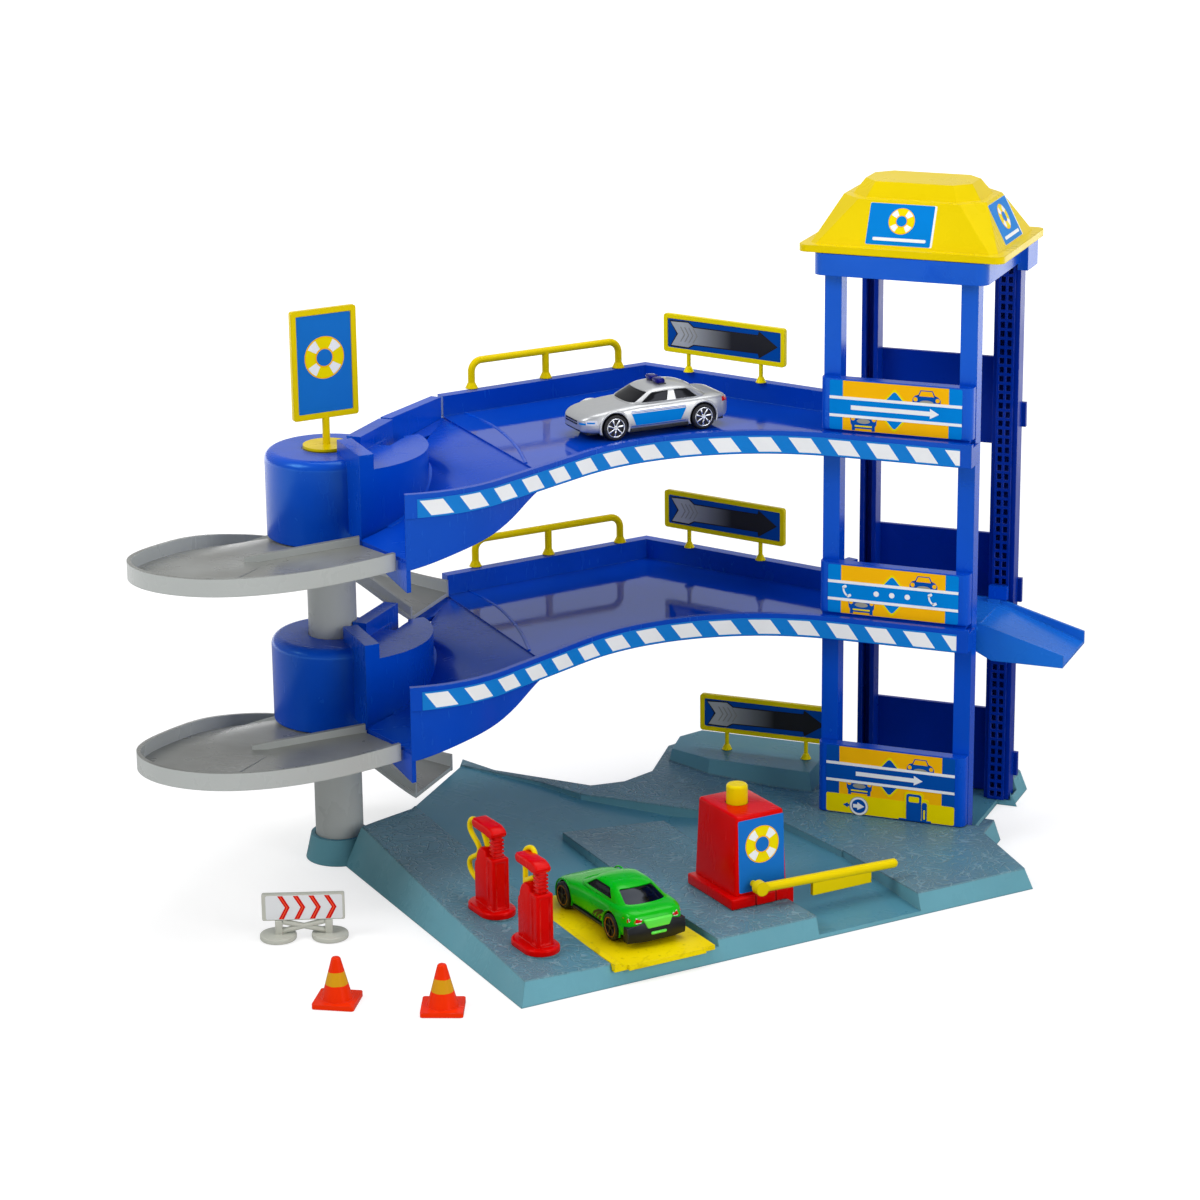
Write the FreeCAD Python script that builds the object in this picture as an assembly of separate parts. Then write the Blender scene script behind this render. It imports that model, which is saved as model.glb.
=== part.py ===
"""Toy rescue station: base plate, lift tower, two decks, spiral way down, signs and two model cars.

All sizes are in millimetres. The origin lies on the ground below the middle of the tower. X runs to the
right along the tower's front, Y runs to the back and Z is up.
"""
import FreeCAD, Part
import math
import os

# Gaps between pieces
fit = 0.2                       # pieces that are clipped or pressed together
running = 0.35                  # pieces that move past each other

# Tower
tower_width = 67.6
tower_depth = 60.0
post_side = 7.5
post_wall = 2.0
rack_post_width = 11.5          # the rear right post carries the rack and is wider
tower_floor = 2.5
collar_bottom = 250.0
collar_top = 259.4
collar_plate = 2.2
collar_margin = 4.5
collar_wall = 1.8
rack_width = 7.6
rack_depth = 1.4
rack_pitch = 4.0
rack_rung = 1.4
rack_rail = 1.2

# Panels on the tower
panel_depth = 5.4
panel_height = 22.5
panel_lift = 2.0                # lower edge above its deck
panel_round = 3.0
panel_wall = 1.8
panel_foot_step = 1.2           # the foot stands back from the panel's face
lower_panel_bottom = 9.4
lower_panel_top = 41.0
rear_panel_depth = 2.0
rear_panel_drop = 15.8
rear_panel_rise = 23.3
rear_panel_overlap = 5.5
rear_clip_reach = 7.8
rear_clip_height = 11.0

# Roof
roof_flange = 3.0
roof_half_x = tower_width / 2 + 11.2
roof_half_y = tower_depth / 2 + 4.3
roof_step = 4.0
roof_shoulder = 21.6            # height of the shoulder above the flange's underside
shoulder_half_x = tower_width / 2 - 2.3
shoulder_half_y = tower_depth / 2 - 8.8
shoulder_corner = 9.5
cap_height = 6.4
cap_base_inset = 3.0
cap_slope = 5.0
roof_wall = 1.8

# Levels
road_height = 17.5              # road where the lowest tray ends
storey = 82.0

# Decks
deck_plate = 2.2
ledge_depth = 11.0              # how far the decks stand in front of the tower
fascia_drop = 8.6
fascia_rise = 1.6
fascia_thickness = 2.5
rear_wall_rise = 9.0
rear_wall_drop = 6.0
rear_wall_thickness = 5.0
chute_drop = 26.5               # from the deck down to the end of its chute
chute_tip_drop = 40.0
chute_shares = (0.012, 0.09, 0.2, 0.31, 0.43, 0.57, 0.70, 0.87, 1.0)
ledge_overhang = 1.4            # decks reach past the tower on the right
bend_start = 9.0
bend_radius = 94.0
bend_angle = 72.5
waist_length = 52.7
turn_radius = 62.0
turn_angle = 41.8
skirt_step = 1.0                # the lower wall stands back from the fascia
skirt_edge = [(-70, 4.0), (-90, 6.0), (-103.6, 8.8), (-119, 16.5), (-127, 19.6), (-138, 22.8), (-149, 26.1),
              (-158, 29.7), (-166, 33.0)]
end_plate_thickness = 2.0
segment_drop = 8.0

# Column, cores and trays
column_radius = 10.4
column_wall = 2.0
core_radius = 26.5
core_wall = 2.5
core_rise = 2.5                 # core top above the deck
core_round = 4.0
block_radius = 43.0
block_start = -46.0
block_end = 50.0
block_drop = 28.5
corner_width = 6.5              # raised corner on the core
leg_depth = 12.0
leg_end = -77.5                 # back end of the raised corner, in line with the deck's edge
pocket_depth = 1.5
pocket_width = 6.0
core_lift = 1.2                 # the core's lower edge above the dish at the column
tray_plate = 1.8
tray_rim = 7.5
tray_rim_wall = 1.8
dish_drop = 35.6                # dish floor at the column, below the deck above it
boss_top = 11.0

# Railings and signs
rod_radius = 1.6
railing_height = 12.2
sign_width = 63.4
sign_height = 17.4
sign_thickness = 2.0
sign_leg = 8.2
sign_leg_spacing = 38.0
flag_width = 30.0
flag_height = 47.0
flag_pole = 11.4
label_recess = 0.4

# Base plate
base_margin_slope = 7.0         # how far the skirt leans in over the height of the blank
base_blank = 20.0
sidewalk_height = 9.0
sidewalk = [(-400, 18.4), (-167, 18.4), (-100, 12.8), (-28, sidewalk_height), (300, sidewalk_height)]
pump_foot_length = 21.5
pump_foot_width = 14.0
pump_places = [(24.0, 70.0, 12.3), (22.7, 30.0, 10.8)]     # along and across the base's front, and up
street_height = 6.0
lane_front_height = 1.5
base_front = 246.0
base_angle = 51.0
kerb_left = 42.0
kerb_middle_near = 91.6
kerb_middle_far = 139.0
kerb_right = 189.0
middle_walk_length = 133.0
base_wall = 2.2                 # wall left between the base's top and the pockets below it
hollow_rim = 12.0
rib_pitch = 54.0

# Yellow plate
plate_thickness = 2.0
plate_depth = 80.0

# Lift
lift_floor = 96.5
lift_plate = 2.2
tail_end_x = 105.0
tail_wall = 1.5

# Booth
booth_height = 34.0
booth_wall = 1.8
plinth_height = 4.8
button_radius = 4.5
button_rise = 8.0
arm_swing = 70.0
arm_length = 65.5
arm_radius = 2.0
arm_sag = 2.2
arm_u = 123.4
arm_v = 21.4
arm_z = 18.2
axle_pin_radius = 1.4
crank_length = 4.36
crank_tip = 1.2
crank_hub_radius = 1.9
stem_radius = 1.8
button_u = 126.4
button_v = 45.0
shelf_z = 33.0
booth_u0 = 115.5
booth_u1 = 140.0
booth_v0 = 30.0
booth_v1 = 60.0

# Small road sign
road_sign_width = 34.0
road_sign_low = 8.3
road_sign_high = 19.9
road_sign_feet_spacing = 20.0

# Cars
wheel_width = 4.0
axle_radius = 0.55

UP = FreeCAD.Vector(0, 0, 1)
deck_heights = {"lower": road_height + storey, "upper": road_height + 2 * storey}
nodes = {}


def vec(x, y, z=0.0):
    return FreeCAD.Vector(x, y, z)


def corner(x, y, z=0.0):
    """A place measured from the outer corner of the tower's front left post."""
    return vec(x - tower_width / 2, y - tower_depth / 2, z)


def on_base(u, v, z=0.0):
    """A place measured from the base plate's front corner, u along its front and v to its back."""
    turn = math.radians(base_angle)
    start = corner(-46.3, -232.9, z)
    return start + vec(u * math.cos(turn) - v * math.sin(turn), u * math.sin(turn) + v * math.cos(turn))


AXIS = corner(-185.5, -106.2)   # upright axis of the column


def around(radius, angle, z=0.0):
    """A place at a radius and an angle about the column."""
    turn = math.radians(angle)
    return AXIS + vec(radius * math.cos(turn), radius * math.sin(turn), z)


def fused(*shapes):
    flat = []
    for shape in shapes:
        if isinstance(shape, (list, tuple)):
            flat.extend(shape)
        else:
            flat.append(shape)
    if len(flat) == 1:
        return flat[0]
    return flat[0].multiFuse(flat[1:]).removeSplitter()


def joined(first, *rest):
    """The shapes fused one after another, which keeps thin curved sheets whole."""
    whole = first
    for shape in rest:
        whole = whole.fuse(shape)
    return whole.removeSplitter()


def box(low, high):
    size = high - low
    return Part.makeBox(size.x, size.y, size.z, low)


def cylinder(radius, height, base, axis=UP):
    return Part.makeCylinder(radius, height, base, axis)


def face_of(points):
    return Part.Face(Part.makePolygon(list(points) + [points[0]]))


def prism(points, z0, z1):
    """An upright prism over an outline."""
    flat = [vec(p.x, p.y, z0) for p in points]
    return face_of(flat).extrude(vec(0, 0, z1 - z0))


def spline(points):
    curve = Part.BSplineCurve()
    curve.interpolate(points)
    return curve.toShape()


def slab(points_a, points_b, thickness):
    """A sheet between two curves through as many points each, its upper side through both."""
    steps = [0.0]
    for index in range(1, len(points_a)):
        run_a = (points_a[index] - points_a[index - 1]).Length
        run_b = (points_b[index] - points_b[index - 1]).Length
        steps.append(steps[-1] + run_a + run_b)
    rows = []
    for points in (points_a, points_b):
        row = Part.BSplineCurve()
        row.interpolate(Points=points, Parameters=[step / steps[-1] for step in steps])
        rows.append(row)
    sheet = Part.BSplineSurface()
    sheet.buildFromPolesMultsKnots(
        [rows[0].getPoles(), rows[1].getPoles()], [2, 2], rows[0].getMultiplicities(),
        [0, 1], rows[0].getKnots(), False, False, 1, rows[0].Degree)
    solid = sheet.toShape().extrude(vec(0, 0, -thickness))
    if solid.Volume < 0:
        solid.reverse()
    return solid


def beside(points, distance):
    """The points moved sideways in plan, to the left of their direction."""
    moved = []
    last = len(points) - 1
    for index, point in enumerate(points):
        ahead = points[min(index + 1, last)] - points[max(index - 1, 0)]
        length = math.hypot(ahead.x, ahead.y)
        moved.append(point + vec(-ahead.y / length * distance, ahead.x / length * distance))
    return moved


def curb(points, thickness, height):
    """A wall along a curve, its top through the points and its thickness to their left."""
    return slab(points, beside(points, thickness), height)


def inset(points, distance):
    """A closed outline, anticlockwise, drawn in by a distance."""
    drawn = []
    count = len(points)
    for index, point in enumerate(points):
        before = (point - points[index - 1]).normalize()
        after = (points[(index + 1) % count] - point).normalize()
        normal_a = vec(-before.y, before.x)
        normal_b = vec(-after.y, after.x)
        scale = distance / (1 + normal_a.dot(normal_b))
        drawn.append(point + (normal_a + normal_b) * scale)
    return drawn


def tapered(points, z0, z1, lean):
    """A block whose sides lean in by a distance between two heights."""
    low = [vec(p.x, p.y, z0) for p in points]
    high = [vec(p.x, p.y, z1) for p in inset(points, lean)]
    wires = [Part.makePolygon(ring + [ring[0]]) for ring in (low, high)]
    return Part.makeLoft(wires, True, True)


def octagon(half_x, half_y, cut, z):
    """A rectangle with cut corners about the tower's middle."""
    points = []
    for sx, sy, first in ((1, -1, "x"), (1, 1, "y"), (-1, 1, "x"), (-1, -1, "y")):
        along_x = vec(sx * (half_x - cut), sy * half_y, z)
        along_y = vec(sx * half_x, sy * (half_y - cut), z)
        points.extend([along_x, along_y] if first == "x" else [along_y, along_x])
    return Part.makePolygon(points + [points[0]])


def rod(points, radius, bend):
    """A round rod along straight runs that are joined by arcs."""
    edges = []
    start = points[0]
    for before, point, after in zip(points, points[1:], points[2:]):
        back = (before - point).normalize()
        on = (after - point).normalize()
        half = back.getAngle(on) / 2
        reach = bend / math.tan(half)
        first = point + back * reach
        last = point + on * reach
        middle_way = (back + on).normalize()
        middle = point + middle_way * (bend / math.sin(half) - bend)
        edges.append(Part.makeLine(start, first))
        edges.append(Part.Arc(first, middle, last).toShape())
        start = last
    edges.append(Part.makeLine(start, points[-1]))
    path = Part.Wire(edges)
    ring = Part.Wire([Part.makeCircle(radius, points[0], points[1] - points[0])])
    return path.makePipeShell([ring], True, False)


def turned(shape, angle, place):
    """A shape that was made at the origin, turned about Z and set in its place."""
    moved = shape.copy()
    moved.rotate(vec(0, 0, 0), UP, angle)
    moved.translate(place)
    return moved


# Base plate
def base_outline():
    """The foot of the base, anticlockwise."""
    return [
        on_base(0, 0), on_base(base_front, 0),
        corner(80, -6), corner(80, 48), corner(74, 54), corner(74, 76), corner(60, 92),
        corner(-4, 92), corner(-12, 66), corner(-84, 64), corner(-93, 44), corner(-88, 10),
        corner(-94, -6), corner(-104, -16), corner(-146, -20), corner(-174, -12),
        corner(-168, -30), corner(-166, -86), corner(-177.6, -118),
    ]


def above(profile, y_low, y_high):
    """All that lies above a road profile given as (x, z) from left to right."""
    top = base_blank * 3
    points = [vec(x, y_low, z) for x, z in profile]
    points += [vec(profile[-1][0], y_low, top), vec(profile[0][0], y_low, top)]
    return face_of(points).extrude(vec(0, y_high - y_low, 0))


def street_cut():
    """The space over the road, from the tray's end to the two lanes."""
    left = corner(-400, 0).x
    right = corner(300, 0).x
    near = corner(0, -400).y
    far = corner(0, 300).y
    profile = [
        (left, road_height), (corner(-163.5, 0).x, road_height), (corner(-100, 0).x, street_height + 4),
        (corner(-60, 0).x, street_height), (right, street_height),
    ]
    region = [
        on_base(kerb_left, -20), on_base(kerb_middle_near, -20),
        on_base(kerb_middle_near, middle_walk_length), on_base(kerb_middle_far, middle_walk_length - 6),
        on_base(kerb_middle_far, -20), on_base(kerb_right, -20), on_base(kerb_right, 50),
        corner(7.6, -36), corner(-10.6, -23.5), corner(-50, -26), corner(-76, -29), corner(-102, -32),
        corner(-123, -28), corner(-190, -28), corner(-190, -82), corner(-161, -82),
    ]
    bed = prism([on_base(kerb_left, -20), on_base(kerb_middle_near, -20),
                 on_base(kerb_middle_near, plate_depth + fit), on_base(kerb_left, plate_depth + fit)],
                street_height, base_blank)
    return prism(region, 0, base_blank * 2).common(above(profile, near, far)).fuse(bed)


def lane_ramp_cut():
    """The right lane runs down to the front edge."""
    ramp_length = 60.0
    slope = (street_height - lane_front_height) / ramp_length
    over = 20.0
    start = on_base(kerb_middle_far, -over, lane_front_height - slope * over)
    points = [
        start, on_base(kerb_middle_far, ramp_length, street_height),
        on_base(kerb_middle_far, ramp_length, base_blank), on_base(kerb_middle_far, -over, base_blank),
    ]
    across = on_base(kerb_right, 0) - on_base(kerb_middle_far, 0)
    return face_of(points).extrude(across)


def hollow_cut(plate):
    """Pockets below the base: the plate drawn in by its wall, between ribs and solid pads."""
    rib = 2.0
    low = -base_wall - 1
    high = base_blank
    reach = 300
    blocks = []
    for step in range(-1, 6):
        near = step * rib_pitch
        for u0, u1, v0, v1 in ((-reach, reach, near, near + rib), (near, near + rib, -reach, reach)):
            points = [on_base(u0, v0), on_base(u1, v0), on_base(u1, v1), on_base(u0, v1)]
            blocks.append(prism(points, low, high))
    blocks.append(box(corner(-12, -16, low), corner(90, 110, high)))
    blocks.append(prism([on_base(kerb_middle_far - 4, -20), on_base(kerb_right + 4, -20),
                         on_base(kerb_right + 4, 66), on_base(kerb_middle_far - 4, 66)], low, high))
    pockets = prism(inset(base_outline(), hollow_rim), low, high).cut(fused(blocks))
    for aside in (vec(0, 0), vec(1, 0), vec(-1, 0), vec(0, 1), vec(0, -1)):
        lowered = plate.copy()
        lowered.translate((aside - UP) * base_wall)
        pockets = pockets.common(lowered)
    return pockets


def base_plate():
    outline = base_outline()
    blank = tapered(outline, 0, base_blank, base_margin_slope)
    walk = [(corner(x, 0).x, z) for x, z in sidewalk]
    plate = blank.cut(above(walk, corner(0, -400).y, corner(0, 300).y))
    for u, v, z in pump_places:
        rooms = [slot_prism(pump_foot_length + 2, pump_foot_width + 2, low, low + 8) for low in (0, -8)]
        room, pad = [turned(shape, base_angle, on_base(u, v, z)) for shape in rooms]
        plate = plate.cut(room).fuse(pad)
    plateau = [corner(-8, 14), corner(-9, 58), corner(-78, 58), corner(-86, 44), corner(-83, 24),
               corner(-60, 16)]
    plate = plate.fuse(tapered(plateau, 4, road_height, 3.0))
    plate = plate.cut(fused(street_cut(), lane_ramp_cut()))
    boss = Part.makeCone(15, 12.5, boss_top, AXIS)
    plate = plate.fuse(boss).cut(cylinder(column_radius + fit, boss_top, AXIS + vec(0, 0, tower_floor)))
    bay = box(corner(-fit, -fit, tower_floor), corner(rack_post_width + 61.0, tower_depth + 3, 60))
    slot = box(corner(66.5, 9.5, -1), corner(120, 52.2, 60))
    plate = plate.cut(fused(bay, slot))
    nub = Part.makeSphere(1.4, on_base(109, 141, street_height))
    return plate.cut(hollow_cut(plate)).fuse(nub)


def yellow_plate():
    """The drive-on plate that lies in the left lane."""
    low = street_height + fit / 2
    top = low + plate_thickness
    left = kerb_left + fit
    right = kerb_middle_near - 3

    def strip(u0, u1, v0, v1, height):
        return prism([on_base(u0, v0), on_base(u1, v0), on_base(u1, v1), on_base(u0, v1)], low, height)

    plate = strip(left, right, 0, plate_depth, top)
    tab = strip(left + 6, right - 5, -1.5, 1, top)
    lip = strip(left, left + 3, 0, plate_depth, top + 1.2)
    knob = cylinder(3.2, 3.4, on_base(right - 5.5, plate_depth - 4, top))
    return fused(plate, tab, lip, knob)


# Lift tower
def post(side_x, side_y, width):
    """A channel post. side_x and side_y are 0 at the left and front, 1 at the right and back."""
    z0 = tower_floor + fit
    z1 = collar_top - collar_plate - fit
    x0 = 0.0 if side_x == 0 else tower_width - post_side
    y0 = 0.0 if side_y == 0 else tower_depth - post_side
    outer = box(corner(x0, y0, z0), corner(x0 + width, y0 + post_side, z1))
    opening = 2 * post_wall
    y_in = y0 + post_wall if side_y == 0 else y0 - opening
    inner = box(corner(x0 + post_wall, y_in, z0 + post_wall),
                corner(x0 + width - post_wall, y_in + post_side - post_wall + opening, z1 + 1))
    return outer.cut(inner)


def rack():
    """The toothed strip: two rails and a middle rail joined by rungs."""
    z0 = tower_floor + fit
    z1 = collar_top - collar_plate - fit
    x0 = tower_width - post_side + (rack_post_width - rack_width) / 2
    y1 = tower_depth - post_side - fit / 2
    y0 = y1 - rack_depth
    rails = []
    for share in (0.0, 0.5, 1.0):
        x = x0 + share * (rack_width - rack_rail)
        rails.append(box(corner(x, y0, z0), corner(x + rack_rail, y1, z1)))
    rungs = []
    count = int((z1 - z0) / rack_pitch)
    for index in range(count + 1):
        z = min(z0 + index * rack_pitch, z1 - rack_rung)
        rungs.append(box(corner(x0, y0, z), corner(x0 + rack_width, y1, z + rack_rung)))
    return fused(rails, rungs)


def front_panel(z0, z1, foot_height=0.0):
    low = corner(fit, -fit - panel_depth, z0)
    high = corner(tower_width - fit, -fit, z1)
    outer = box(low, high)
    edges = [e for e in outer.Edges if e.BoundBox.YMax < low.y + 0.01 and e.BoundBox.ZLength > 1]
    outer = outer.makeFillet(panel_round, edges)
    inner = box(low + vec(panel_wall, panel_wall, panel_wall),
                high + vec(-panel_wall, 1, -panel_wall))
    panel = outer.cut(inner)
    if foot_height:
        foot = box(low + vec(panel_foot_step, panel_foot_step, -foot_height),
                   vec(high.x - panel_foot_step, high.y, z0 + panel_wall / 2))
        panel = panel.fuse(foot).removeSplitter()
    return panel


def rear_panel(level):
    z0 = max(level - rear_panel_drop, tower_floor + fit)
    z1 = level + rear_panel_rise
    y0 = tower_depth + fit
    plate = box(corner(post_side - rear_panel_overlap, y0, z0),
                corner(tower_width - post_side + rear_panel_overlap, y0 + rear_panel_depth, z1))
    clip_z = (z0 + z1) / 2 - rear_clip_height
    clip = box(corner(post_side, y0, clip_z),
               corner(tower_width - post_side + rack_post_width + 1.6, y0 + rear_panel_depth,
                      clip_z + rear_clip_height))
    return fused(plate, clip)


def tower_collar():
    right = tower_width + collar_margin
    outer = box(corner(-collar_margin, -collar_margin, collar_bottom),
                corner(right, tower_depth + collar_margin, collar_top))
    upright = [e for e in outer.Edges if abs(e.Vertexes[0].Z - e.Vertexes[1].Z) > 1]
    outer = outer.makeFillet(5.0, upright)
    ear = box(corner(tower_width - post_side, tower_depth - post_side - 4, collar_bottom - 3.5),
              corner(tower_width - post_side + rack_post_width + collar_wall + 2.2,
                     tower_depth + collar_margin, collar_top))
    room = box(corner(-collar_margin + collar_wall, -collar_margin + collar_wall, collar_bottom - 1),
               corner(right - collar_wall, tower_depth + collar_margin - collar_wall,
                      collar_top - collar_plate))
    ear_room = box(corner(tower_width - post_side - 3, tower_depth - post_side - 4 + collar_wall,
                          collar_bottom - 10),
                   corner(tower_width - post_side + rack_post_width + fit,
                          tower_depth + collar_margin - collar_wall, collar_top - collar_plate))
    ear_below = box(corner(tower_width - post_side - 1, tower_depth - post_side - 5, collar_bottom - 10),
                    corner(tower_width + collar_margin - 1, tower_depth + collar_margin + 1, collar_bottom))
    return outer.fuse(ear).cut(fused(room, ear_room, ear_below))


def roof():
    """The roof: a flange, a hipped body with cut corners and a raised cap."""
    z0 = collar_top + fit
    z1 = z0 + roof_flange
    z2 = z0 + roof_shoulder
    z3 = z2 + cap_height

    def skin(shrink, low):
        body = Part.makeLoft([
            octagon(roof_half_x - roof_step - shrink, roof_half_y - roof_step - shrink, 3.0, low),
            octagon(shoulder_half_x - shrink, shoulder_half_y - shrink, shoulder_corner, z2 - shrink),
        ], True, True)
        cap = Part.makeLoft([
            octagon(shoulder_half_x - cap_base_inset - shrink, shoulder_half_y - cap_base_inset - shrink,
                    shoulder_corner - 1, z2 - shrink - 0.5),
            octagon(shoulder_half_x - cap_base_inset - cap_slope - shrink,
                    shoulder_half_y - cap_base_inset - cap_slope - shrink, shoulder_corner - 3,
                    z3 - shrink),
        ], True, True)
        return fused(body, cap)

    flange = box(vec(-roof_half_x, -roof_half_y, z0), vec(roof_half_x, roof_half_y, z1))
    upright = [e for e in flange.Edges if abs(e.Vertexes[0].Z - e.Vertexes[1].Z) > 1]
    flange = flange.makeFillet(4.0, upright)
    shell = fused(skin(0, z1), flange)
    return shell.cut(skin(roof_wall, z0 - 0.5))


def lift_platform():
    """The car lift: a floor with side rails, and a tail that slopes down to the right."""
    z = lift_floor
    near = post_side + 0.5
    far = tower_depth - post_side - 0.5 - rack_depth
    floor = box(corner(0.8, near, z - lift_plate), corner(tower_width - 0.8, far, z))
    rails = []
    for y in (near, far - tail_wall):
        rails.append(box(corner(0.8, y, z - lift_plate), corner(tower_width - 0.8, y + tail_wall, z + 1.5)))
    tail_near = 12.0
    tail_far = 50.0
    tail_x = tower_width - 1.4
    floor_tail = face_of([
        corner(tail_x, tail_near, z), corner(tail_end_x, tail_near, z - 14.0),
        corner(tail_end_x, tail_near, z - 15.2), corner(73.3, tail_near, z - 15.2),
        corner(tail_x, tail_near, z - 11.7),
    ]).extrude(vec(0, tail_far - tail_near, 0))
    under = face_of([
        corner(tail_x - 4, tail_near + tail_wall, z - 3.4),
        corner(tail_end_x - tail_wall, tail_near + tail_wall, z - 15.3),
        corner(tail_end_x - tail_wall, tail_near + tail_wall, z - 20),
        corner(tail_x - 4, tail_near + tail_wall, z - 20),
    ]).extrude(vec(0, tail_far - tail_near - 2 * tail_wall, 0))
    walls = []
    for y in (tail_near, tail_far - tail_wall):
        walls.append(face_of([
            corner(tail_x, y, z + 1.5), corner(tail_end_x, y, z - 9.5), corner(tail_end_x, y, z - 15.2),
            corner(73.3, y, z - 15.2), corner(tail_x, y, z - 11.7),
        ]).extrude(vec(0, tail_wall, 0)))
    tail = fused(floor_tail.cut(under), walls)
    shoe = box(corner(tower_width - 6.4, near, z - 4), corner(tower_width - 0.8, near + 2.0, z + 7.5))
    latch_seat = box(corner(tower_width - 6.4, far - 3.4, z - 4), corner(tower_width - 0.8, far, z + 1.5))
    return fused(floor, rails, tail, shoe, latch_seat)


def lift_latch():
    """The pawl that slides along the rack and holds the lift by friction."""
    z = lift_floor
    far = tower_depth - post_side - 0.5 - rack_depth
    y1 = tower_depth - post_side - fit / 2 - rack_depth - 0.1
    return fused(
        box(corner(tower_width - 6.0, far - 3.0, z + 1.5), corner(tower_width + 2.4, y1 - 0.6, z + 7.5)),
        box(corner(tower_width - 4.0, far - 3.0, z + 3.5), corner(tower_width + 1.4, y1, z + 5.5)),
    )


# Decks and chutes
def track(start, heading, moves, side):
    """Lines and arcs in plan that run on from each other, moved to the right by a distance.

    A move is a length, or a radius with an angle that is positive to the left.
    """
    curves = []
    turn = math.radians(heading)
    place = start
    for move in moves:
        ahead = vec(math.cos(turn), math.sin(turn))
        right = vec(ahead.y, -ahead.x)
        if not isinstance(move, tuple):
            end = place + ahead * move
            curves.append(Part.LineSegment(place + right * side, end + right * side))
            place = end
            continue
        radius, angle = move
        sign = 1 if angle > 0 else -1
        centre = place - right * (sign * radius)
        sweep = math.radians(angle)
        spots = []
        for share in (0.0, 0.5, 1.0):
            a = turn + sweep * share
            outward = vec(math.sin(a), -math.cos(a)) * sign
            spots.append(centre + outward * (radius + sign * side))
        curves.append(Part.Arc(*spots))
        place = centre + outward * radius
        turn += sweep
    return curves


def deck_front(z, side=0.0):
    start = corner(tower_width + ledge_overhang, -ledge_depth, z)
    moves = [
        tower_width + ledge_overhang - bend_start, (bend_radius, bend_angle), waist_length,
        (turn_radius, -turn_angle),
    ]
    return track(start, 180, moves, side)


def band(curves_a, curves_b, height):
    """A wall between two matching runs of curves, standing on them."""
    edges = [curve.toShape() for curve in curves_a]
    edges.append(Part.makeLine(curves_a[-1].value(curves_a[-1].LastParameter),
                               curves_b[-1].value(curves_b[-1].LastParameter)))
    edges += [curve.toShape() for curve in reversed(curves_b)]
    edges.append(Part.makeLine(curves_b[0].value(curves_b[0].FirstParameter),
                               curves_a[0].value(curves_a[0].FirstParameter)))
    return Part.Face(Part.Wire(edges)).extrude(vec(0, 0, height))


def on_curve(curve, share):
    return curve.value(curve.FirstParameter + share * (curve.LastParameter - curve.FirstParameter))


def chute_inner(z):
    """The chute's inner edge: from the crease along the sector block."""
    reach = block_radius + running + 0.2
    spots = [corner(-164.5, -29.2, z), corner(-161.5, -50, z), around(reach + 1, block_end, z),
             around(reach + 0.4, 35, z), around(reach, 20, z), around(reach, 5, z),
             around(reach, -10, z), around(reach, -30, z), corner(-155.2, -139.2, z)]
    return [spot - vec(0, 0, share * chute_drop) for spot, share in zip(spots, chute_shares)]


def chute_outer(z):
    """The chute's outer edge, inside the outer wall."""
    front = deck_front(z, fascia_thickness / 2)
    spots = [on_curve(front[2], share) for share in (0.49, 0.60, 0.72, 0.90)]
    spots += [on_curve(front[3], share) for share in (0.10, 0.30, 0.50, 0.75, 0.985)]
    return [spot - vec(0, 0, share * chute_drop) for spot, share in zip(spots, chute_shares)]


def ribbon(points, thickness, height):
    """A wall of even thickness along a broken line, centred on it."""
    sides = []
    for sign in (0.5, -0.5):
        row = []
        for index, point in enumerate(points):
            before = (point - points[index - 1]).normalize() if index else None
            after = (points[index + 1] - point).normalize() if index < len(points) - 1 else None
            before = before or after
            after = after or before
            normals = vec(-before.y - after.y, before.x + after.x)
            row.append(point + normals * (sign * thickness / (1 + before.dot(after))))
        sides.append(row)
    outline = sides[0] + sides[1][::-1]
    return face_of(outline).extrude(vec(0, 0, height))


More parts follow.
